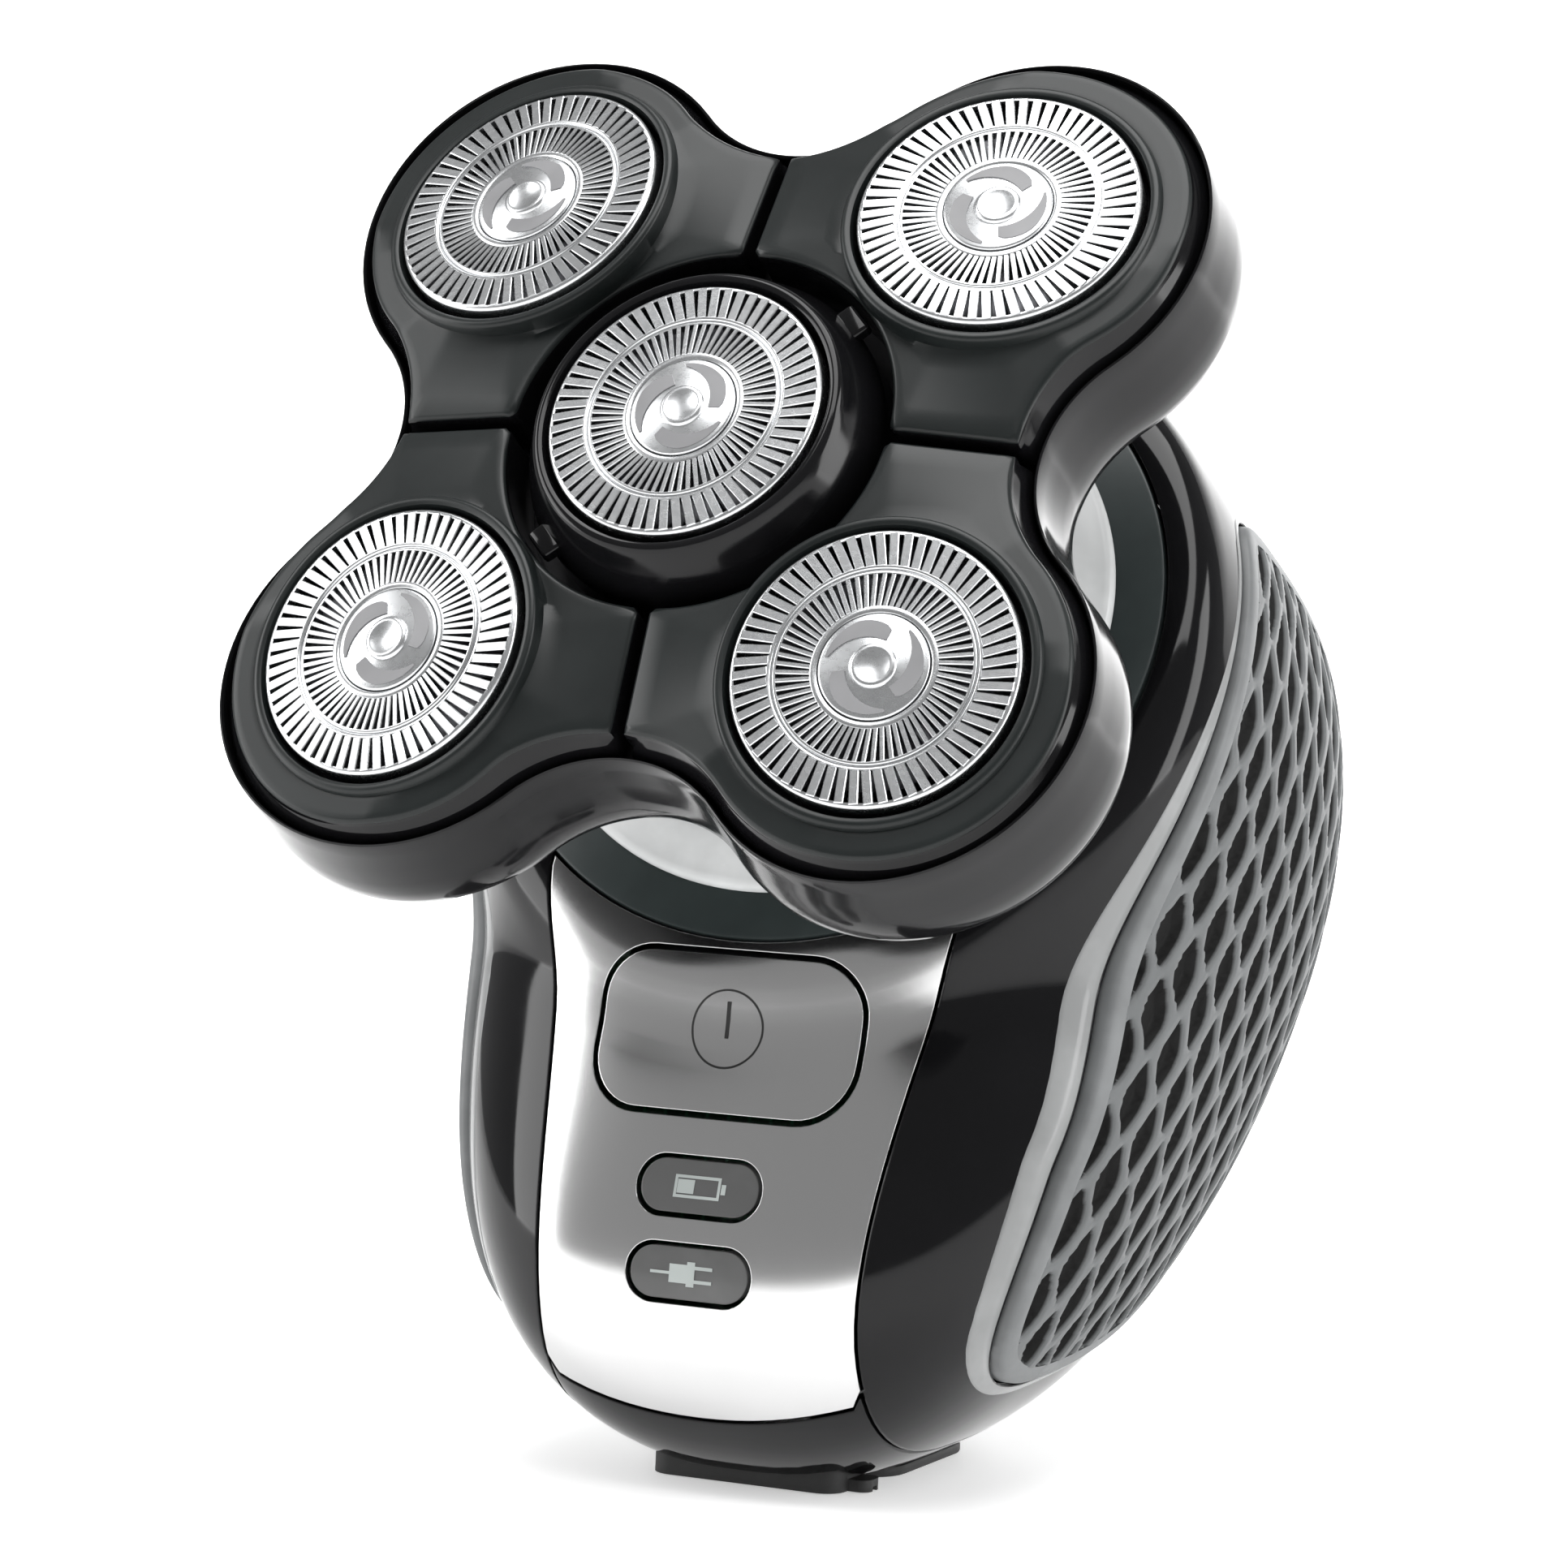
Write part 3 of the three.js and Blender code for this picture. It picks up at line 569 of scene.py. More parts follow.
def skin_along(start, direction, far, offset=0.0):
    """Where rays that start inside the body leave its skin moved out by `offset`."""
    near = np.zeros(start.shape[:-1])
    end = np.full(start.shape[:-1], float(far))
    for _ in range(32):
        half = (near + end) / 2
        inside = skin_field(start + direction * half[..., None]) < offset
        near = np.where(inside, half, near)
        end = np.where(inside, end, half)
    return start + direction * near[..., None]


def side_point(y, z, offset=0.0):
    """Points of the right side of the skin at given y and z."""
    start = np.stack([np.zeros_like(y), y, z], -1)
    return skin_along(start, np.array([1.0, 0, 0]), 60, offset)


def front_point(x, z, offset=0.0):
    """Points of the front of the skin at given x and z."""
    start = np.stack([x, np.full_like(x, 12.0), z], -1)
    return skin_along(start, np.array([0, -1.0, 0]), 60, offset)


def body_solid(offset, around=200, rows=132):
    """The whole skin moved out by `offset`, as a ball drawn out to it."""
    bm = bmesh.new()
    bmesh.ops.create_uvsphere(bm, u_segments=around, v_segments=rows, radius=1)
    local = np.array([v.co for v in bm.verts])
    turn = np.array(HEAD.to_3x3())
    directions = local @ turn.T
    directions /= np.linalg.norm(directions, axis=1)[:, None]
    centre = np.array([0, HEAD_Y - BODY_CENTRE_N * math.cos(HEAD_TILT),
                       HEAD_Z + BODY_CENTRE_N * math.sin(HEAD_TILT)])
    points = skin_along(np.tile(centre, (len(local), 1)), directions, 110, offset)
    for vert, point in zip(bm.verts, points):
        vert.co = point
    face_out(bm)
    return bm


def skin_normals(points):
    """Outward directions of the skin at points in body millimetres."""
    h = 0.05
    parts = []
    for axis in range(3):
        step = np.zeros(3)
        step[axis] = h
        parts.append(skin_field(points + step) - skin_field(points - step))
    normal = np.stack(parts, -1)
    return normal / np.maximum(np.linalg.norm(normal, axis=-1), 1e-9)[..., None]


def follow_skin(mesh):
    """Gives faces that lie on the skin its own smooth normals, and leaves cut faces flat."""
    loops = np.zeros(len(mesh.loops), np.int64)
    mesh.loops.foreach_get("vertex_index", loops)
    points = np.zeros(len(mesh.vertices) * 3)
    mesh.vertices.foreach_get("co", points)
    points = points.reshape(-1, 3) / MM + np.array([0, FOOT_CENTRE_Y, 0])
    smooth = skin_normals(points)
    normals = np.zeros((len(mesh.loops), 3))
    for face in mesh.polygons:
        flat = np.array(face.normal)
        for index in face.loop_indices:
            own = smooth[loops[index]]
            normals[index] = own if own @ flat > 0.86 else flat
    mesh.normals_split_custom_set([tuple(n) for n in normals])


# -------------------------------------------------------- head outlines


def head_reach(turn, r):
    """Distance from the head axis to the four-lobed outline, lobes of radius r at 45 degrees."""
    fillet = NOTCH_SUM - r
    half = LOBE_DISTANCE / math.sqrt(2)
    far = half + math.sqrt(NOTCH_SUM ** 2 - half ** 2)
    t = abs((turn + math.pi / 4) % (math.pi / 2) - math.pi / 4)
    if t < math.atan2(fillet * half / NOTCH_SUM, far + fillet * (half - far) / NOTCH_SUM):
        return far * math.cos(t) - math.sqrt(fillet ** 2 - (far * math.sin(t)) ** 2)
    return half * (math.cos(t) + math.sin(t)) + math.sqrt(r ** 2 - (half * (math.cos(t) - math.sin(t))) ** 2)


def head_loop(r, n):
    def at(turn):
        reach = head_reach(turn, r)
        return (reach * math.cos(turn), reach * math.sin(turn), n)
    return at


def round_loop(r, n):
    def at(turn):
        return (r * math.cos(turn), r * math.sin(turn), n)
    return at


def soft_least(values, k):
    """The smallest of some lengths, with the corners between them rounded."""
    low = min(values)
    return low - k * math.log(sum(math.exp((low - v) / k) for v in values))


def lobe_reach(turn, r, inset):
    """Distance from a lobe's centre to its edge, moved in by `inset`."""
    c, s = math.cos(turn), abs(math.sin(turn))
    r = r - inset
    fillet = NOTCH_SUM - r
    half = LOBE_DISTANCE / math.sqrt(2)
    far = (half + math.sqrt(NOTCH_SUM ** 2 - half ** 2)) / math.sqrt(2)
    lengths = []
    along = (far - LOBE_DISTANCE) * c + far * s
    across = abs((far - LOBE_DISTANCE) * s - far * c)
    touch = math.atan2(far, far - LOBE_DISTANCE)
    if math.acos(max(-1, min(1, c))) <= touch:
        lengths.append(r)
    elif across < fillet and along > 0:
        lengths.append(max(r, along - math.sqrt(fillet ** 2 - across ** 2)))
    if s - c > 0.05:
        lengths.append((LOBE_DISTANCE - (SEAM_HALF + inset) * math.sqrt(2)) / (s - c))
    hole = POD_HOLE_R + inset
    gap = hole ** 2 - (LOBE_DISTANCE * s) ** 2
    if c < 0 and gap > 0:
        lengths.append(-LOBE_DISTANCE * c - math.sqrt(gap))
    return soft_least(lengths, 0.16)


def lobe_top(x, y, drop):
    fall = -3.4 - math.tan(LOBE_TILT) * (x - LOBE_DISTANCE)
    return min(-3.0, fall) - 0.2 * max(0.0, abs(y) - 11.5) - drop


def lobe_loop(r, inset, n=None, drop=0.0):
    """Loop round a lobe's edge, at height n or `drop` below the lobe's face."""
    def at(turn):
        reach = lobe_reach(turn, r, inset)
        x = LOBE_DISTANCE + reach * math.cos(turn)
        y = reach * math.sin(turn)
        return (x, y, lobe_top(x, y, drop) if n is None else n)
    return at


def cutter_loop(r, z, settle=0.0):
    """Loop on a cutter's own tilted axis; `settle` 1 drops it onto the lobe's face."""
    def at(turn):
        c, s = math.cos(LOBE_TILT), math.sin(LOBE_TILT)
        x, y = r * math.cos(turn), r * math.sin(turn)
        px, pz = LOBE_DISTANCE + x * c + z * s, LOBE_FACE_N - x * s + z * c
        if settle:
            pz = pz * (1 - settle) + lobe_top(px, y, 0) * settle
        return (px, y, pz)
    return at


def between(a, b, share):
    def at(turn):
        return tuple(p * (1 - share) + q * share for p, q in zip(a(turn), b(turn)))
    return at


# --------------------------------------------------------- head pieces


def make_head_base():
    bm = bmesh.new()
    outside = [
        (14.4, -15.8), (15.2, -12.5), (16.0, -9.9), (16.05, -6.6), (16.12, -6.3), (16.25, -6.2),
        (16.38, -6.3), (16.45, -6.7), (16.5, -8.0), (16.62, -10.0), (16.8, -12.0), (16.85, -13.5),
        (16.7, -14.9), (16.3, -16.0), (15.6, -16.8), (14.7, -17.25), (13.6, -17.45),
    ]
    underneath = [
        (22.5, -17.7), (21.2, -18.2), (20.6, -19.4), (20.6, -29.2), (20.3, -29.6), (18.9, -29.6),
        (18.6, -29.3), (18.6, -18.6), (17.8, -17.9), (4.4, -17.4), (4.2, -17.2), (4.2, -16.0),
        (4.5, -15.85), (16, -15.8),
    ]
    loops = [head_loop(r, n) for r, n in outside]
    loops.append(between(head_loop(13.2, -17.45), round_loop(24, -17.6), 0.5))
    loops += [round_loop(r, n) for r, n in underneath]
    close_loft(bm, *loft(bm, loops, 320))
    tidy(bm)
    finish_piece("head_base_fine", bm, HEAD, "head", ["head_base"], ["rim"])


def make_lobe(index):
    edge = bpy.context.scene.shaver_head.edge_round / MM
    bm = bmesh.new()
    wall = lobe_loop(LOBE_R, 0.05, n=-6.9)
    shoulder = lobe_loop(LOBE_TOP_R, 0, drop=edge)
    top_edge = lobe_loop(LOBE_TOP_R, edge * 0.8, drop=0)
    inner_rim = cutter_loop(13.05, -1.3, settle=1)
    cutter_well = [
        (12.9, -0.85), (12.78, -0.62), (12.6, -0.52), (12.3, -0.52), (12.08, -0.62), (12.0, -0.85),
        (11.95, -1.2), (11.95, -4.2), (12.1, -4.4), (13.0, -3.2),
    ]
    loops = [lobe_loop(LOBE_R, inset, n=n)
             for inset, n in ((1.2, -9.3), (0.1, -9.5), (0, -9.3), (0, -7.2), (0.03, -6.9))]
    loops += [between(wall, shoulder, share) for share in (0.5, 0.9)] + [shoulder]
    loops += [lobe_loop(LOBE_TOP_R, edge * inset, drop=edge * drop)
              for inset, drop in ((0.08, 0.6), (0.28, 0.28), (0.55, 0.08))]
    loops += [top_edge] + [between(top_edge, inner_rim, share) for share in (0.25, 0.5, 0.75, 0.93)]
    loops += [cutter_loop(13.0, -1.15, settle=0.8)] + [cutter_loop(r, z) for r, z in cutter_well]
    loops += [lobe_loop(LOBE_TOP_R, 1.4, drop=1.5), lobe_loop(LOBE_R, 1.3, n=-7.5)]
    close_loft(bm, *loft(bm, loops, 224))
    tidy(bm)
    for face in bm.faces:
        rise = max(v.co.z - lobe_top(v.co.x, v.co.y, 0) for v in face.verts)
        face.material_index = 1 if rise < -edge * 0.5 else 0
    finish_piece(f"lobe_{index}_fine", bm, lobe_frame(index), f"lobe_unit_{index}", [f"lobe_{index}"],
                 ["satin", "rim"])


def make_pod():
    bm = bmesh.new()
    lathe(bm, [
        (11.9, -9.4), (14.7, -9.4), (14.9, -9.2), (14.9, -5.4), (14.82, -4.7), (14.6, -4.0), (14.2, -3.1),
        (13.7, -2.1), (13.3, -1.3), (13.0, -0.75), (12.8, -0.48), (12.55, -0.34), (12.3, -0.34),
        (12.08, -0.45), (12.0, -0.7), (11.9, -1.2),
    ], 160)
    for turn in (math.radians(45), math.radians(225)):
        place = Matrix.Rotation(turn, 4, "Z") @ Matrix.Translation((14.9, 0, -3.9))
        tab = bmesh.ops.create_cube(bm, size=1, matrix=place @ Matrix.Diagonal((1.8, 3.0, 1.2, 1)))
        bevel(bm, list({e for v in tab["verts"] for e in v.link_edges}), 0.35, 3)
    tidy(bm)
    finish_piece("pod_fine", bm, HEAD, "middle_pod", ["pod"], ["rim"])


def join(bm, other):
    """Adds another mesh to this one."""
    mesh = bpy.data.meshes.new("joined")
    other.to_mesh(mesh)
    other.free()
    bm.from_mesh(mesh)
    bpy.data.meshes.remove(mesh)


def repeat_round(bm, count):
    """Copies the whole mesh round Z, `count` in all."""
    bmesh.ops.spin(bm, geom=bm.verts[:] + bm.edges[:] + bm.faces[:], cent=(0, 0, 0), axis=(0, 0, 1),
                   dvec=(0, 0, 0), angle=2 * math.pi * (count - 1) / count, steps=count - 1,
                   use_duplicate=True)


def spokes(bm, count, matrix, size, lean):
    """A small bar with rounded top edges, repeated round Z."""
    bar = bmesh.new()
    turned = matrix @ Matrix.Rotation(lean, 4, "Z")
    bmesh.ops.create_cube(bar, size=1, matrix=turned @ Matrix.Diagonal((*size, 1)))
    top = [e for e in bar.edges if all(v.co.z > matrix.translation.z for v in e.verts)]
    bevel(bar, top, 0.07, 1)
    repeat_round(bar, count)
    join(bm, bar)


def cutter_body(index):
    return "middle_pod" if index == 0 else f"lobe_unit_{index}"


def make_guard(index):
    """Slotted foil: two tracks of bars between three rings."""
    s = bpy.context.scene.shaver_head
    slot = s.slot_width / MM
    bm = bmesh.new()
    lathe(bm, [(11.05, -2.6), (11.5, -2.6), (11.5, -0.5), (11.42, -0.26), (11.25, -0.12), (11.05, -0.12)],
          120)
    lathe(bm, [(7.75, -0.75), (8.45, -0.75), (8.45, -0.02), (8.3, 0), (8.22, -0.05), (8.12, -0.2),
               (8.06, -0.2), (7.98, -0.05), (7.9, 0), (7.75, -0.02)])
    lathe(bm, [(4.5, -0.75), (5.05, -0.75), (5.05, -0.04), (4.98, 0), (4.62, 0), (4.5, -0.08)])
    outer = 2 * math.pi * OUTER_TRACK_R / s.outer_slots - slot
    spokes(bm, s.outer_slots, Matrix.Translation((9.78, 0, -0.36)), (2.8, outer, 0.72), math.radians(7))
    inner = 2 * math.pi * INNER_TRACK_R / s.inner_slots - slot * 0.7
    spokes(bm, s.inner_slots, Matrix.Translation((6.4, 0, -0.36)), (2.8, inner, 0.7), math.radians(-5))
    face_out(bm)
    finish_piece(f"guard_{index}_fine", bm, cutter_frame(index), cutter_body(index),
                 [f"guard_{index}"], ["steel"])


def make_cap(index):
    """Polished disc with curved petals round a boss."""
    petals = bpy.context.scene.shaver_head.petals
    bm = bmesh.new()
    lathe(bm, [(0, -1.5), (4.3, -1.5), (4.4, -1.4), (4.4, -0.02), (4.34, 0.09), (4.2, 0.15), (2.0, 0.15),
               (1.86, 0.2), (1.78, 0.36), (1.62, 0.45), (1.35, 0.45), (1.25, 0.39), (0, 0.39)], closed=False)
    tidy(bm)
    petal = bmesh.new()
    bmesh.ops.create_grid(petal, x_segments=14, y_segments=5, size=1)
    for v in petal.verts:
        along, across = (v.co.x + 1) / 2, (v.co.y + 1) / 2
        turn = along * math.radians(300 / petals)
        low = 2.25 + 1.5 * along ** 1.8
        high = 3.2 + 0.75 * min(1, along * 2.4) ** 0.6
        reach = low + (high - low) * across
        v.co = (reach * math.cos(turn), reach * math.sin(turn), 0.13)
    raised = bmesh.ops.extrude_face_region(petal, geom=petal.faces[:])["geom"]
    bmesh.ops.translate(petal, vec=(0, 0, 0.1), verts=only_verts(raised))
    for face in petal.faces:
        face.material_index = 1
    repeat_round(petal, petals)
    join(bm, petal)
    face_out(bm)
    finish_piece(f"cap_{index}_fine", bm, cutter_frame(index), cutter_body(index),
                 [f"cap_{index}"], ["cap", "petal"])


def make_collar():
    bm = bmesh.new()
    lathe(bm, [
        (6.4, -34.0), (25.2, -34.0), (25.45, -33.9), (25.5, -33.6), (25.42, -33.2), (25.2, -32.95),
        (24.8, -32.75), (24.0, -32.3), (23.0, -31.6), (22.0, -30.9), (21.4, -30.5), (20.9, -30.25),
        (18.3, -30.2), (18.05, -30.0), (18.0, -29.6), (18.0, -26.6), (17.5, -26.5), (17.4, -26.0),
        (17.5, -25.5), (18.0, -25.4), (18.0, -19.3), (17.7, -19.0), (6.4, -19.0),
    ], 200)
    tidy(bm)
    # Grey collar: its light grey is a painted reflection.
    finish_piece("collar_fine", bm, HEAD, "body", ["collar"], ["collar"])


def make_deck():
    bm = bmesh.new()
    lathe(bm, [(6.5, -36.3), (29.3, -36.3), (29.5, -36.1), (29.5, -34.6), (29.42, -34.4), (29.2, -34.3),
               (6.5, -34.3)], 200)
    tidy(bm)
    # The deck's lighter satin is a painted sheen on the same plastic as the lobes.
    finish_piece("deck_fine", bm, HEAD, "body", ["deck_plate"], ["deck"])


# ------------------------------------------------------- handle pieces


def panel_half_width(z):
    return 14 + 4.6 * min(1, max(0, (z - 14) / 36)) ** 1.6


def panel_outline(grow, steps=24):
    heights = [PANEL_LOW_Z + PANEL_SIDE * i / steps for i in range(steps + 1)]
    right = [(panel_half_width(z) + grow, z) for z in heights]
    bottom = [(x * 13.2, 6.9 + 2.2 * x ** 2 - grow) for x in np.linspace(-1, 1, 17)]
    left = [(-x, z) for x, z in reversed(right)]
    return right + left + [(float(x), float(z)) for x, z in bottom]


def fitting_outline(half, low, high, r, grow):
    """A rounded shape across the middle of the body, `grow` larger all round."""
    return rounded_outline(-half - grow, half + grow, low - grow, high + grow, r + grow)


def button_outline(grow):
    return fitting_outline(BUTTON_HALF, BUTTON_LOW_Z, BUTTON_HIGH_Z, BUTTON_R, grow)


def pill_outline(z, grow):
    return fitting_outline(PILL_HALF, z - PILL_HALF_HEIGHT, z + PILL_HALF_HEIGHT, PILL_R, grow)


def back_outline(grow):
    return fitting_outline(BACK_HALF, BACK_LOW_Z, BACK_HIGH_Z, BACK_R, grow)


def grip_curve(count):
    """Side view of a grip as evenly spaced points (y, z)."""
    corners = [
        ((22.5, 81.5), (2, 60), (4.5, 42), (-2, 29)),
        ((-2, 29), (-5.5, 18), (-6, 9.5), (8, 9.8)),
        ((8, 9.8), (30, 10), (46, 20), (52, 40)),
        ((52, 40), (55, 62), (44, 78), (22.5, 81.5)),
    ]
    dense = []
    for a, b, c, d in corners:
        for i in range(200):
            t = i / 200
            k = ((1 - t) ** 3, 3 * t * (1 - t) ** 2, 3 * t * t * (1 - t), t ** 3)
            dense.append([sum(w * p[axis] for w, p in zip(k, (a, b, c, d))) for axis in (0, 1)])
    dense = np.array(dense)
    for _ in range(40):
        dense = 0.25 * np.roll(dense, 1, 0) + 0.5 * dense + 0.25 * np.roll(dense, -1, 0)
    gaps = np.linalg.norm(np.roll(dense, -1, 0) - dense, axis=1)
    length = np.concatenate([[0], np.cumsum(gaps)])
    closed = np.vstack([dense, dense[:1]])
    wanted = np.linspace(0, length[-1], count, endpoint=False)
    return np.stack([np.interp(wanted, length, closed[:, axis]) for axis in (0, 1)], -1)


def moved_in(curve, inset):
    """A closed curve moved inwards by `inset`, or outwards if negative."""
    along = np.roll(curve, -2, 0) - np.roll(curve, 2, 0)
    along /= np.linalg.norm(along, axis=1)[:, None]
    area = np.sum(curve[:, 0] * np.roll(curve[:, 1], -1) - np.roll(curve[:, 0], -1) * curve[:, 1])
    inward = np.stack([-along[:, 1], along[:, 0]], -1) * (1 if area > 0 else -1)
    inset = inset if np.ndim(inset) == 0 else np.asarray(inset)[:, None]
    return curve + inward * inset


def ring(points):
    """A loop through a closed row of points."""
    def at(turn):
        return points[int(round((turn % (2 * math.pi)) / (2 * math.pi) * len(points))) % len(points)]
    return at


def skin_band(bm, rows, count):
    """Rings on the side of the skin: each row is (curve, height above the skin)."""
    close_loft(bm, *loft(bm, [ring(side_point(*curve.T, height)) for curve, height in rows], count))


def hollow_skin():
    """The body's wall as one solid, 2 mm thick."""
    return [("DIFFERENCE", body_solid(-WALL, 96, 64))]


def make_front_panel():
    steps = hollow_skin() + [
        ("INTERSECT", prism(panel_outline(0), "y", PANEL_FRONT_Y, PANEL_BACK_Y)),
        ("DIFFERENCE", prism(button_outline(GAP + 0.2), "y", -40, 20)),
        ("DIFFERENCE", prism(pill_outline(BATTERY_Z, GAP + 0.1), "y", -40, 20)),
        ("DIFFERENCE", prism(pill_outline(PLUG_Z, GAP + 0.1), "y", -40, 20)),
        ("DIFFERENCE", deck_tool(DECK_HOLE_R)),
    ]
    finish_piece("front_panel_fine", carve(body_solid(0), *steps), BODY, "body", ["front_panel"],
                 ["silver"], skin=True)


def deck_tool(r):
    bm = bmesh.new()
    lathe(bm, [(0, -38), (r, -38), (r, -31), (0, -31)], 200, closed=False)
    tidy(bm)
    bmesh.ops.transform(bm, matrix=BODY.inverted() @ HEAD, verts=bm.verts)
    return bm


def make_button():
    steps = hollow_skin() + [("INTERSECT", prism(button_outline(0), "y", PANEL_FRONT_Y, PANEL_BACK_Y)),
                             ("DIFFERENCE", deck_tool(DECK_HOLE_R))]
    finish_piece("power_button_fine", carve(body_solid(0), *steps), BODY, "button", ["power_button"],
                 ["silver"], skin=True)
    bm = bmesh.new()
    on_front(bm, [(3.05, 0.01), (3.05, 0.035), (3.22, 0.035), (3.22, 0.01)], MARK_Z)
    bar = bmesh.ops.create_grid(bm, x_segments=2, y_segments=8, size=1)["verts"]
    lay_on_front(bar, 0.17, 1.5, 0, 39.2, 0.035)
    face_out(bm)
    finish_piece("power_mark", bm, BODY, "button", [], ["mark"])


def on_front(bm, profile, z, count=64):
    """A ring on the front of the skin; the profile is (radius, height above the skin)."""
    turns = 2 * np.pi * np.arange(count) / count
    loops = [ring(front_point(radius * np.cos(turns), z + radius * np.sin(turns), height))
             for radius, height in profile]
    close_loft(bm, *loft(bm, loops, count))


def lay_on_front(verts, half_x, half_z, x, z, height):
    """Lays a flat grid of half size 1 on the front of the skin."""
    flat = np.array([v.co for v in verts])
    points = front_point(x + flat[:, 0] * half_x, z + flat[:, 1] * half_z, height)
    for vert, point in zip(verts, points):
        vert.co = point


def make_lens(name, z):
    steps = [("DIFFERENCE", body_solid(-1.2, 96, 64)), ("INTERSECT", prism(pill_outline(z, 0), "y", -30, 0))]
    finish_piece(f"{name}_fine", carve(body_solid(-0.15), *steps), BODY, "body", [name],
                 ["lens"], skin=True)


def make_icons():
    """Plain battery and plug shapes under the two lenses."""
    bm = bmesh.new()
    battery = [(-0.2, 0.78, 2.0, 0.12), (-0.2, -0.78, 2.0, 0.12), (-2.1, 0, 0.12, 0.9), (1.75, 0, 0.12, 0.9),
               (2.15, 0, 0.2, 0.4), (-1.2, 0, 0.75, 0.55)]
    plug = [(-2.5, 0, 0.9, 0.12), (-0.9, 0, 0.8, 0.75), (0.2, 0, 0.35, 1.0), (1.3, 0.55, 0.8, 0.14),
            (1.3, -0.55, 0.8, 0.14)]
    for z, parts in ((BATTERY_Z, battery), (PLUG_Z, plug)):
        for x, rise, half_x, half_z in parts:
            patch = bmesh.ops.create_grid(bm, x_segments=4, y_segments=3, size=1)["verts"]
            lay_on_front(patch, half_x, half_z, x, z + rise, -0.12)
    face_out(bm)
    finish_piece("panel_icons", bm, BODY, "body", [], ["icon"])


def side_word(side):
    return "right" if side > 0 else "left"


def mirror_if_left(bm, side):
    if side < 0:
        bmesh.ops.scale(bm, vec=(-1, 1, 1), verts=bm.verts)
    face_out(bm)


def grip_tool(side, grow):
    outline = [tuple(p) for p in moved_in(grip_curve(160), -grow)]
    tool = prism(outline, "x", 8, 60)
    mirror_if_left(tool, side)
    return tool


def make_shell(side):
    """Half of the handle's skin, open for the panel, the deck, the back and the base."""
    name = f"{side_word(side)}_shell"
    half = block(0.15, 60, -40, 90, FLOOR_Z, 120) if side > 0 else block(-60, -0.15, -40, 90, FLOOR_Z, 120)
    recess = carve(grip_tool(side, GAP), ("DIFFERENCE", body_solid(-1, 96, 64)))
    steps = hollow_skin() + [
        ("INTERSECT", half),
        ("DIFFERENCE", deck_tool(DECK_HOLE_R)),
        ("DIFFERENCE", prism(panel_outline(GAP), "y", PANEL_FRONT_Y, PANEL_BACK_Y)),
        ("DIFFERENCE", block(-14.2, 14.2, -30, 27.3, -5, 10.8)),
        ("DIFFERENCE", prism(back_outline(GAP), "y", 34, 90)),
        ("DIFFERENCE", recess),
    ]
    finish_piece(f"{name}_fine", carve(body_solid(0), *steps), BODY, "body", [name],
                 ["gloss"], skin=True)


def make_back():
    steps = hollow_skin() + [("INTERSECT", prism(back_outline(0), "y", 34.5, 90))]
    finish_piece("back_shell_fine", carve(body_solid(0), *steps), BODY, "body", ["back_shell"],
                 ["gloss"], skin=True)


def make_base_cap():
    steps = hollow_skin() + [
        ("UNION", carve(body_solid(0, 96, 64), ("INTERSECT", block(-40, 40, -30, 60, 0, 3.4)))),
        ("INTERSECT", block(-13.9, 13.9, -30, 27, FLOOR_Z, 10.5)),
        ("DIFFERENCE", prism(panel_outline(GAP), "y", PANEL_FRONT_Y, PANEL_BACK_Y)),
        ("DIFFERENCE", block(-8.9, 8.9, -2.4, 6.1, -2, 3.3)),
        ("DIFFERENCE", block(-4.8, 4.8, 0.2, 3.8, 2, 8)),
    ]
    finish_piece("base_cap_fine", carve(body_solid(0), *steps), BODY, "body", ["base_cap"],
                 ["gloss"], skin=True)


def make_foot():
    bm = prism(rounded_outline(-9.5, 9.5, 6.8, 26.0, 4), "z", 0, 0.9)
    soften(bm, 0.25)
    finish_piece("foot_pad_fine", bm, BODY, "body", ["foot_pad"], ["rubber"])


def make_port_cover():
    bm = carve(prism(rounded_outline(-8.6, 8.6, -2.1, 5.8, 2), "z", 0.1, 3.0),
               ("UNION", prism(rounded_outline(7, 10.4, 0.4, 3.4, 1), "z", 0.1, 1.1)),
               ("DIFFERENCE", block(8.9, 11, 1.5, 2.3, -1, 0.5)))
    soften(bm, 0.22)
    finish_piece("port_cover_fine", bm, BODY, "port_flap", ["port_cover"], ["rubber"])
    bm = bmesh.new()
    for x in (-3.2, 2.0):
        place = Matrix.Translation((x, -2.1, 1.55))
        dash = bmesh.ops.create_cube(bm, size=1, matrix=place @ Matrix.Diagonal((3.4, 0.3, 0.5, 1)))
        bevel(bm, list({e for v in dash["verts"] for e in v.link_edges}), 0.1, 2)
    face_out(bm)
    finish_piece("port_cover_ribs", bm, BODY, "port_flap", [], ["rubber"])


def pocket_height(y, z, settings):
    """1 at the bottom of a grip pocket, 0 on the web between pockets."""
    front = np.interp(z, [8, 14, 20, 29, 40, 50, 60, 71, 82], [-1, -4, -4.2, -2, 2.1, 3.4, 5, 10, 23])
    column = (y - front * 0.85 + 1.4) / (settings.column_pitch / MM)
    number = np.round(column)
    across = column - number
    row = (z + y * 0.05) / (settings.pocket_pitch / MM) + 0.5 * (number % 2)
    up = row - np.round(row)
    across = across - 0.18 * up
    leaf = np.abs(across) / 0.5 + (np.abs(up) / 0.47) ** 1.7
    shape = np.clip((1.0 - leaf) / 0.28, 0, 1)
    return shape * shape * (3 - 2 * shape)


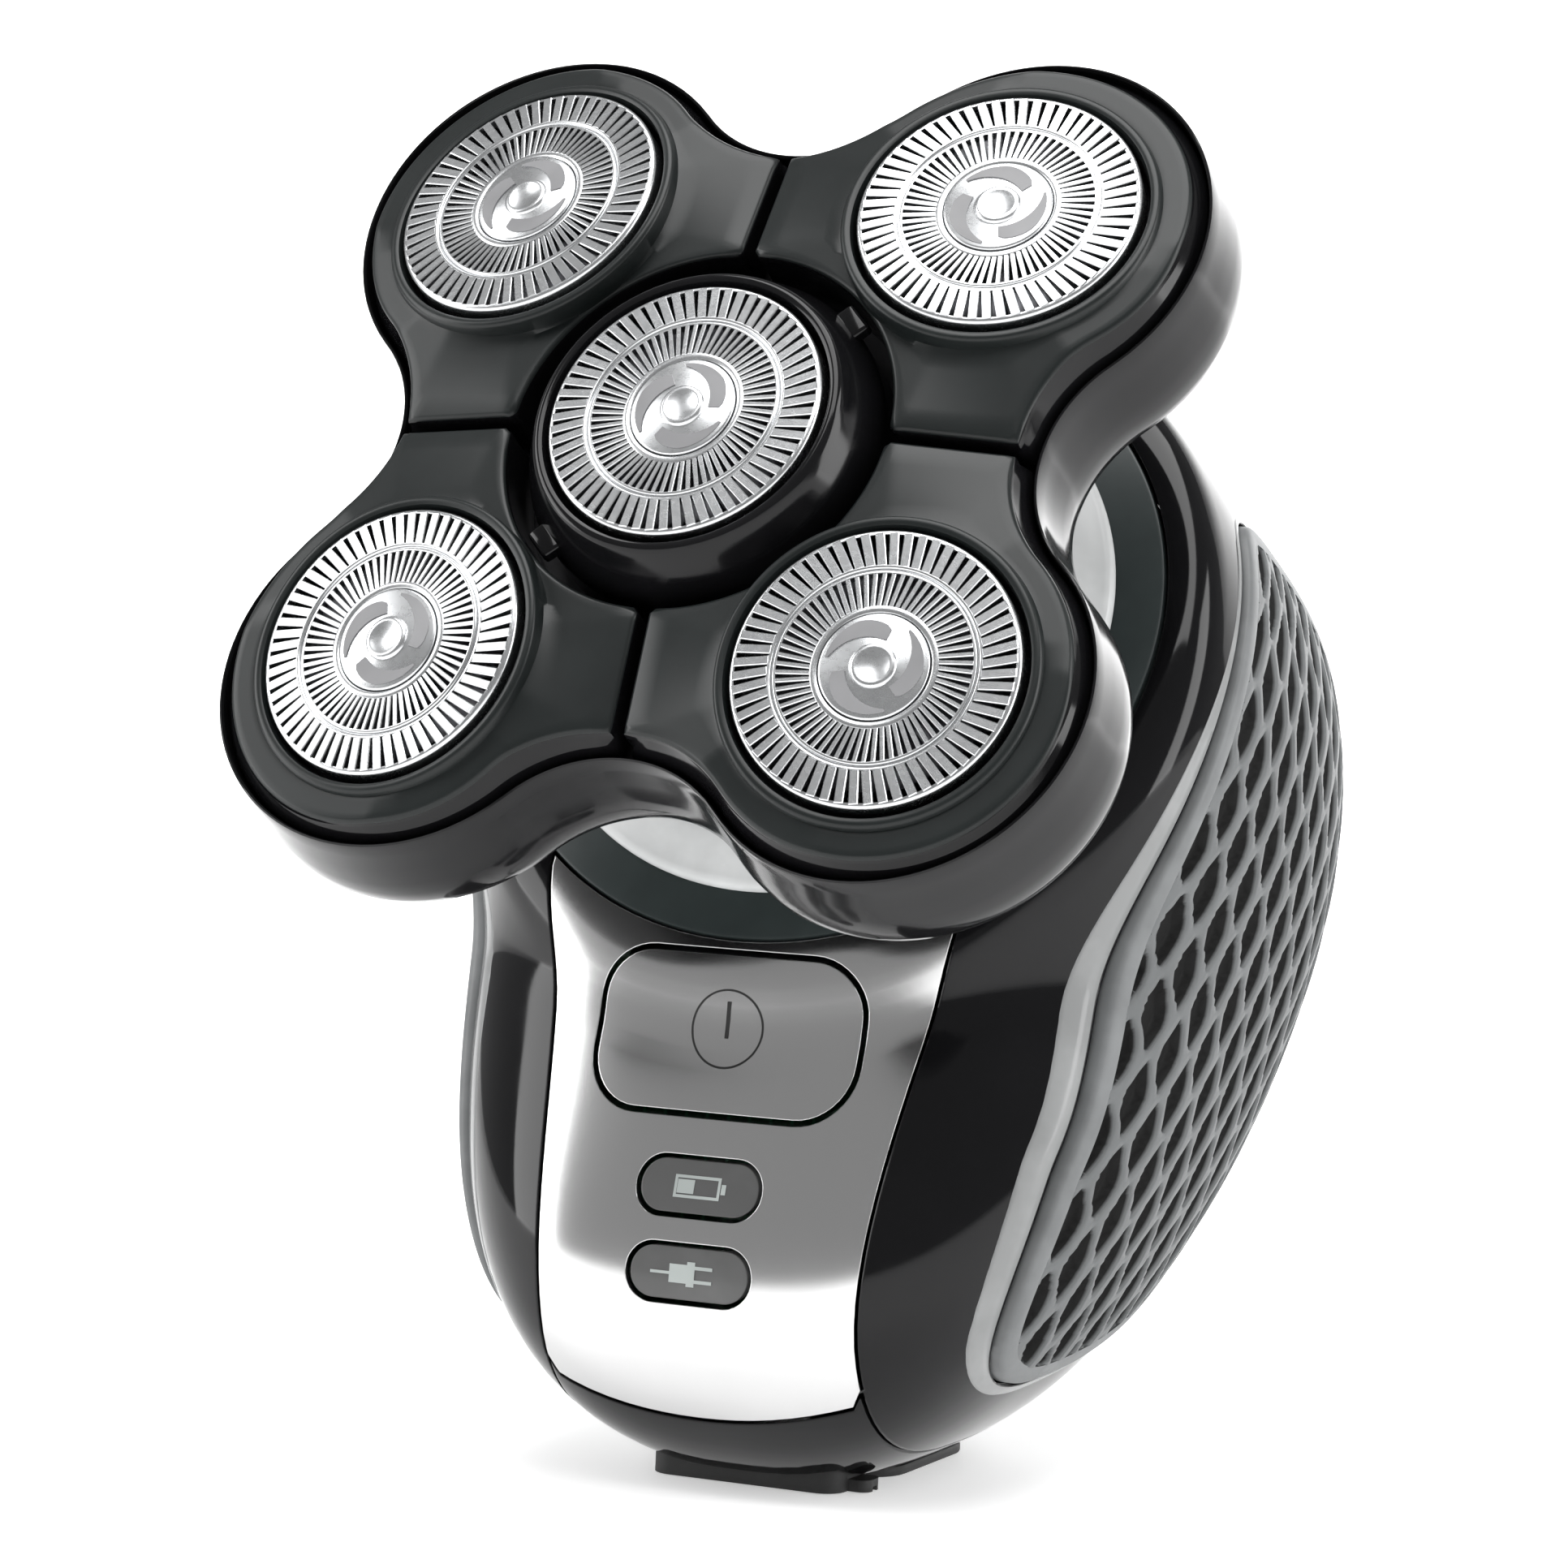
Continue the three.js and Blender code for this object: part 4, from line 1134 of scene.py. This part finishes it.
def make_grip(side):
    """Rubber pad: a web of leaf-shaped pockets with a plain margin round it."""
    s = bpy.context.scene.shaver_body
    lift = s.grip_raise / MM
    depth = s.pocket_depth / MM
    word = side_word(side)
    curve = grip_curve(GRIP_POINTS)
    bm = bmesh.new()
    rows = [(moved_in(curve, d), h) for d, h in (
        (0.9, -0.6), (0.15, -0.65), (0.0, -0.5), (0.0, lift - 0.3), (0.08, lift - 0.1), (0.3, lift + 0.02),
        (0.7, lift + 0.05), (1.2, lift + 0.04), (1.5, lift - 0.02), (1.55, lift - 0.3))]
    skin_band(bm, rows, GRIP_POINTS)
    mirror_if_left(bm, side)
    finish_piece(f"{word}_grip_margin", bm, BODY, "body", [f"{word}_grip"], ["grip_band"],
                 sharp=60)

    bm = bmesh.new()
    pocket = bm.verts.layers.float.new("pocket")
    bmesh.ops.create_grid(bm, x_segments=170, y_segments=218, size=1)
    inner = moved_in(grip_curve(240), 1.1)
    flat = np.array([v.co for v in bm.verts])
    y = 24 + flat[:, 0] * 30
    z = 45.6 + flat[:, 1] * 37
    keep = inside_curve(y, z, inner)
    margin = curve_distance(y, z, inner)
    height = pocket_height(y, z, s) * np.clip((margin - 0.35) / 0.5, 0, 1)
    points = side_point(y, z, lift)
    normals = skin_normals(points)
    points = points - normals * (height * depth)[:, None]
    for vert, point, hole in zip(list(bm.verts), points, height):
        vert.co = point
        vert[pocket] = float(hole)
    gone = [vert for vert, kept in zip(list(bm.verts), keep) if not kept]
    bmesh.ops.delete(bm, geom=gone, context="VERTS")
    mirror_if_left(bm, side)
    finish_piece(f"{word}_grip_web", bm, BODY, "body", [], ["grip"], sharp=180)


def inside_curve(y, z, curve):
    inside = np.zeros(y.shape, bool)
    for (ya, za), (yb, zb) in zip(curve, np.roll(curve, -1, 0)):
        crosses = (za > z) != (zb > z)
        if abs(zb - za) > 1e-9:
            inside ^= crosses & (y < (yb - ya) * (z - za) / (zb - za) + ya)
    return inside


def curve_distance(y, z, curve):
    best = np.full(y.shape, 1e9)
    for ya, za in curve:
        best = np.minimum(best, (y - ya) ** 2 + (z - za) ** 2)
    return np.sqrt(best)


def make_trim(side):
    """Lip of the shell round a grip, widest along the front; its grey is a painted highlight on the edge."""
    curve = grip_curve(GRIP_POINTS)
    y, z = curve[:, 0], curve[:, 1]
    front = np.clip((16 - y) / 14, 0, 1) * np.clip((z - 8) / 8, 0, 1)
    width = 0.5 + 1.9 * front * front * (3 - 2 * front)
    bm = bmesh.new()
    rows = [(moved_in(curve, -(0.3 + width * share)), height) for share, height in (
        (0.0, -0.7), (0.02, -0.1), (0.12, 0.06), (0.5, 0.07), (0.9, 0.05), (1.0, 0.0), (1.0, -0.3),
        (0.5, -0.7))]
    skin_band(bm, rows, GRIP_POINTS)
    mirror_if_left(bm, side)
    word = side_word(side)
    finish_piece(f"{word}_grip_trim", bm, BODY, "body", [], ["trim"], sharp=60)


# -------------------------------------------------------------- studio


def make_floor():
    bm = bmesh.new()
    bmesh.ops.create_grid(bm, x_segments=1, y_segments=1, size=2.5)
    bmesh.ops.translate(bm, vec=(0, 0.6, 0), verts=bm.verts)
    back = [e for e in bm.edges if all(v.co.y > 3 for v in e.verts)]
    raised = bmesh.ops.extrude_edge_only(bm, edges=back)["geom"]
    bmesh.ops.translate(bm, vec=(0, 0, 3), verts=only_verts(raised))
    bevel(bm, back, 1.2, 16)
    mesh = bpy.data.meshes.new("studio_floor")
    bm.to_mesh(mesh)
    bm.free()
    mesh.shade_smooth()
    f = Finish("studio_floor")
    speck = f.noise(0.02, 3, 0.6)
    tone = tuple(bpy.context.scene.shaver_colours.floor)
    colour_now = f.mix(speck, tone, shade(tone, 0.985))
    mesh.materials.append(f.set(Base_Color=colour_now, Roughness=speck * 0.1 + 0.6,
                                Emission_Color=(1, 1, 1), Emission_Strength=0.42))
    link("studio_floor", mesh)


def softbox(name, place, target, size, watts):
    light = bpy.data.lights.new(name, "AREA")
    light.shape = "RECTANGLE"
    light.size, light.size_y = size
    light.energy = watts
    thing = link(name, light)
    thing.location = place
    thing.rotation_mode = "QUATERNION"
    thing.rotation_quaternion = (Vector(target) - Vector(place)).to_track_quat("-Z", "Y")


def make_lights():
    bpy.context.scene.view_settings.view_transform = "Standard"
    world = bpy.data.worlds.new("studio_air")
    bpy.context.scene.world = world
    world.use_nodes = True
    world.node_tree.nodes["Background"].inputs["Color"].default_value = (1, 1, 1, 1)
    world.node_tree.nodes["Background"].inputs["Strength"].default_value = 0.32
    softbox("top_box", (0.05, -0.15, 0.85), (0, 0, 0.05), (0.7, 0.7), 9)
    softbox("left_box", (-0.75, -0.35, 0.35), (0, 0, 0.07), (0.35, 0.8), 5)
    softbox("right_box", (0.8, 0.05, 0.35), (0, 0, 0.06), (0.3, 0.8), 5)
    softbox("back_box", (0.0, 1.2, 1.3), (0, 2.6, 0.3), (2.5, 1.0), 110)


def make_camera():
    lens = bpy.data.cameras.new("camera")
    lens.lens = 117.56
    lens.sensor_width = 36
    lens.clip_start, lens.clip_end = 0.02, 20
    camera = link("camera", lens)
    right, up, back = (0.9111, 0.4098, 0.0432), (-0.0610, 0.0305, 0.9977), (0.4076, -0.9117, 0.0528)
    turn = Matrix((right, up, back)).transposed()
    camera.rotation_mode = "QUATERNION"
    camera.rotation_quaternion = turn.to_quaternion()
    camera.location = (0.172801, -0.402344, 0.080562)
    bpy.context.scene.camera = camera


# ------------------------------------------------- carried-over pieces

CARRIED = {
    "gear": ["centre_gear", "gear_1", "gear_2", "gear_3", "gear_4"],
    "dark_steel": ["cutter_0", "cutter_1", "cutter_2", "cutter_3", "cutter_4", "drive_shaft", "motor",
                   "board_screw_1", "board_screw_2", "board_screw_3", "board_screw_4"],
    "inner": ["gear_plate", "chassis", "tact_switch"],
    "rubber": ["neck_seal"],
    "steel": ["charge_socket"],
    "board": ["circuit_board"],
    "cell": ["battery_1", "battery_2"],
    "light": ["battery_light", "plug_light"],
}


def dress_carried():
    for finish, nodes in CARRIED.items():
        for node in nodes:
            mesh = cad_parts[node].data
            mesh.materials.clear()
            mesh.materials.append(finishes[finish])


# ----------------------------------------------------------- operators


class SHAVER_OT_finishes(bpy.types.Operator):
    """Makes the finishes and puts them on the parts that are shown as packed"""

    bl_idname = "shaver.finishes"
    bl_label = "Finishes"

    def execute(self, context):
        make_finishes()
        dress_carried()
        return {"FINISHED"}


class SHAVER_OT_head(bpy.types.Operator):
    """Models the head base, the middle pod, the collar and the deck"""

    bl_idname = "shaver.head"
    bl_label = "Head base, pod, collar and deck"

    def execute(self, context):
        make_head_base()
        make_pod()
        make_collar()
        make_deck()
        return {"FINISHED"}


class SHAVER_OT_lobes(bpy.types.Operator):
    """Models the four floating lobes"""

    bl_idname = "shaver.lobes"
    bl_label = "Lobes"

    def execute(self, context):
        for index in range(1, 5):
            make_lobe(index)
        return {"FINISHED"}


class SHAVER_OT_cutters(bpy.types.Operator):
    """Models the five slotted guards and their caps"""

    bl_idname = "shaver.cutters"
    bl_label = "Guards and caps"

    def execute(self, context):
        for index in range(5):
            make_guard(index)
            make_cap(index)
        return {"FINISHED"}


class SHAVER_OT_shells(bpy.types.Operator):
    """Models the side shells and the back shell"""

    bl_idname = "shaver.shells"
    bl_label = "Shells"

    def execute(self, context):
        make_shell(1)
        make_shell(-1)
        make_back()
        return {"FINISHED"}


class SHAVER_OT_panel(bpy.types.Operator):
    """Models the plated front panel, its button, lenses and marks"""

    bl_idname = "shaver.panel"
    bl_label = "Front panel"

    def execute(self, context):
        make_front_panel()
        make_button()
        make_lens("battery_lens", BATTERY_Z)
        make_lens("plug_lens", PLUG_Z)
        make_icons()
        return {"FINISHED"}


class SHAVER_OT_grips(bpy.types.Operator):
    """Models the two rubber grips and the lip round each, whose grey is a painted highlight"""

    bl_idname = "shaver.grips"
    bl_label = "Grips"

    def execute(self, context):
        for side in (1, -1):
            make_grip(side)
            make_trim(side)
        return {"FINISHED"}


class SHAVER_OT_base(bpy.types.Operator):
    """Models the base cap, the foot and the port cover"""

    bl_idname = "shaver.base"
    bl_label = "Base, foot and port cover"

    def execute(self, context):
        make_base_cap()
        make_foot()
        make_port_cover()
        return {"FINISHED"}


class SHAVER_OT_stage(bpy.types.Operator):
    """Makes the pale floor, the soft lights and the camera"""

    bl_idname = "shaver.stage"
    bl_label = "Studio"

    def execute(self, context):
        make_floor()
        make_lights()
        make_camera()
        return {"FINISHED"}


OPERATORS = (SHAVER_OT_finishes, SHAVER_OT_head, SHAVER_OT_lobes, SHAVER_OT_cutters, SHAVER_OT_shells,
             SHAVER_OT_panel, SHAVER_OT_grips, SHAVER_OT_base, SHAVER_OT_stage)
SETTINGS = {"shaver_head": ShaverHeadSettings, "shaver_body": ShaverBodySettings,
            "shaver_colours": ShaverColours}


class SHAVER_PT_sidebar(bpy.types.Panel):
    """Settings and steps of the head shaver"""

    bl_idname = "SHAVER_PT_sidebar"
    bl_label = "Head shaver"
    bl_space_type = "VIEW_3D"
    bl_region_type = "UI"
    bl_category = "Shaver"

    def draw(self, context):
        for attribute in SETTINGS:
            group = getattr(context.scene, attribute)
            box = self.layout.box()
            for key in group.__annotations__:
                box.prop(group, key)
        for operator in OPERATORS:
            self.layout.operator(operator.bl_idname)


def register():
    for cls in (*SETTINGS.values(), *OPERATORS, SHAVER_PT_sidebar):
        bpy.utils.register_class(cls)
    for attribute, cls in SETTINGS.items():
        setattr(bpy.types.Scene, attribute, bpy.props.PointerProperty(type=cls))


def unregister():
    for attribute in SETTINGS:
        delattr(bpy.types.Scene, attribute)
    for cls in reversed((*SETTINGS.values(), *OPERATORS, SHAVER_PT_sidebar)):
        bpy.utils.unregister_class(cls)


def main():
    register()
    for operator in OPERATORS:
        group, name = operator.bl_idname.split(".")
        getattr(getattr(bpy.ops, group), name)()


if __name__ == "__main__":
    main()
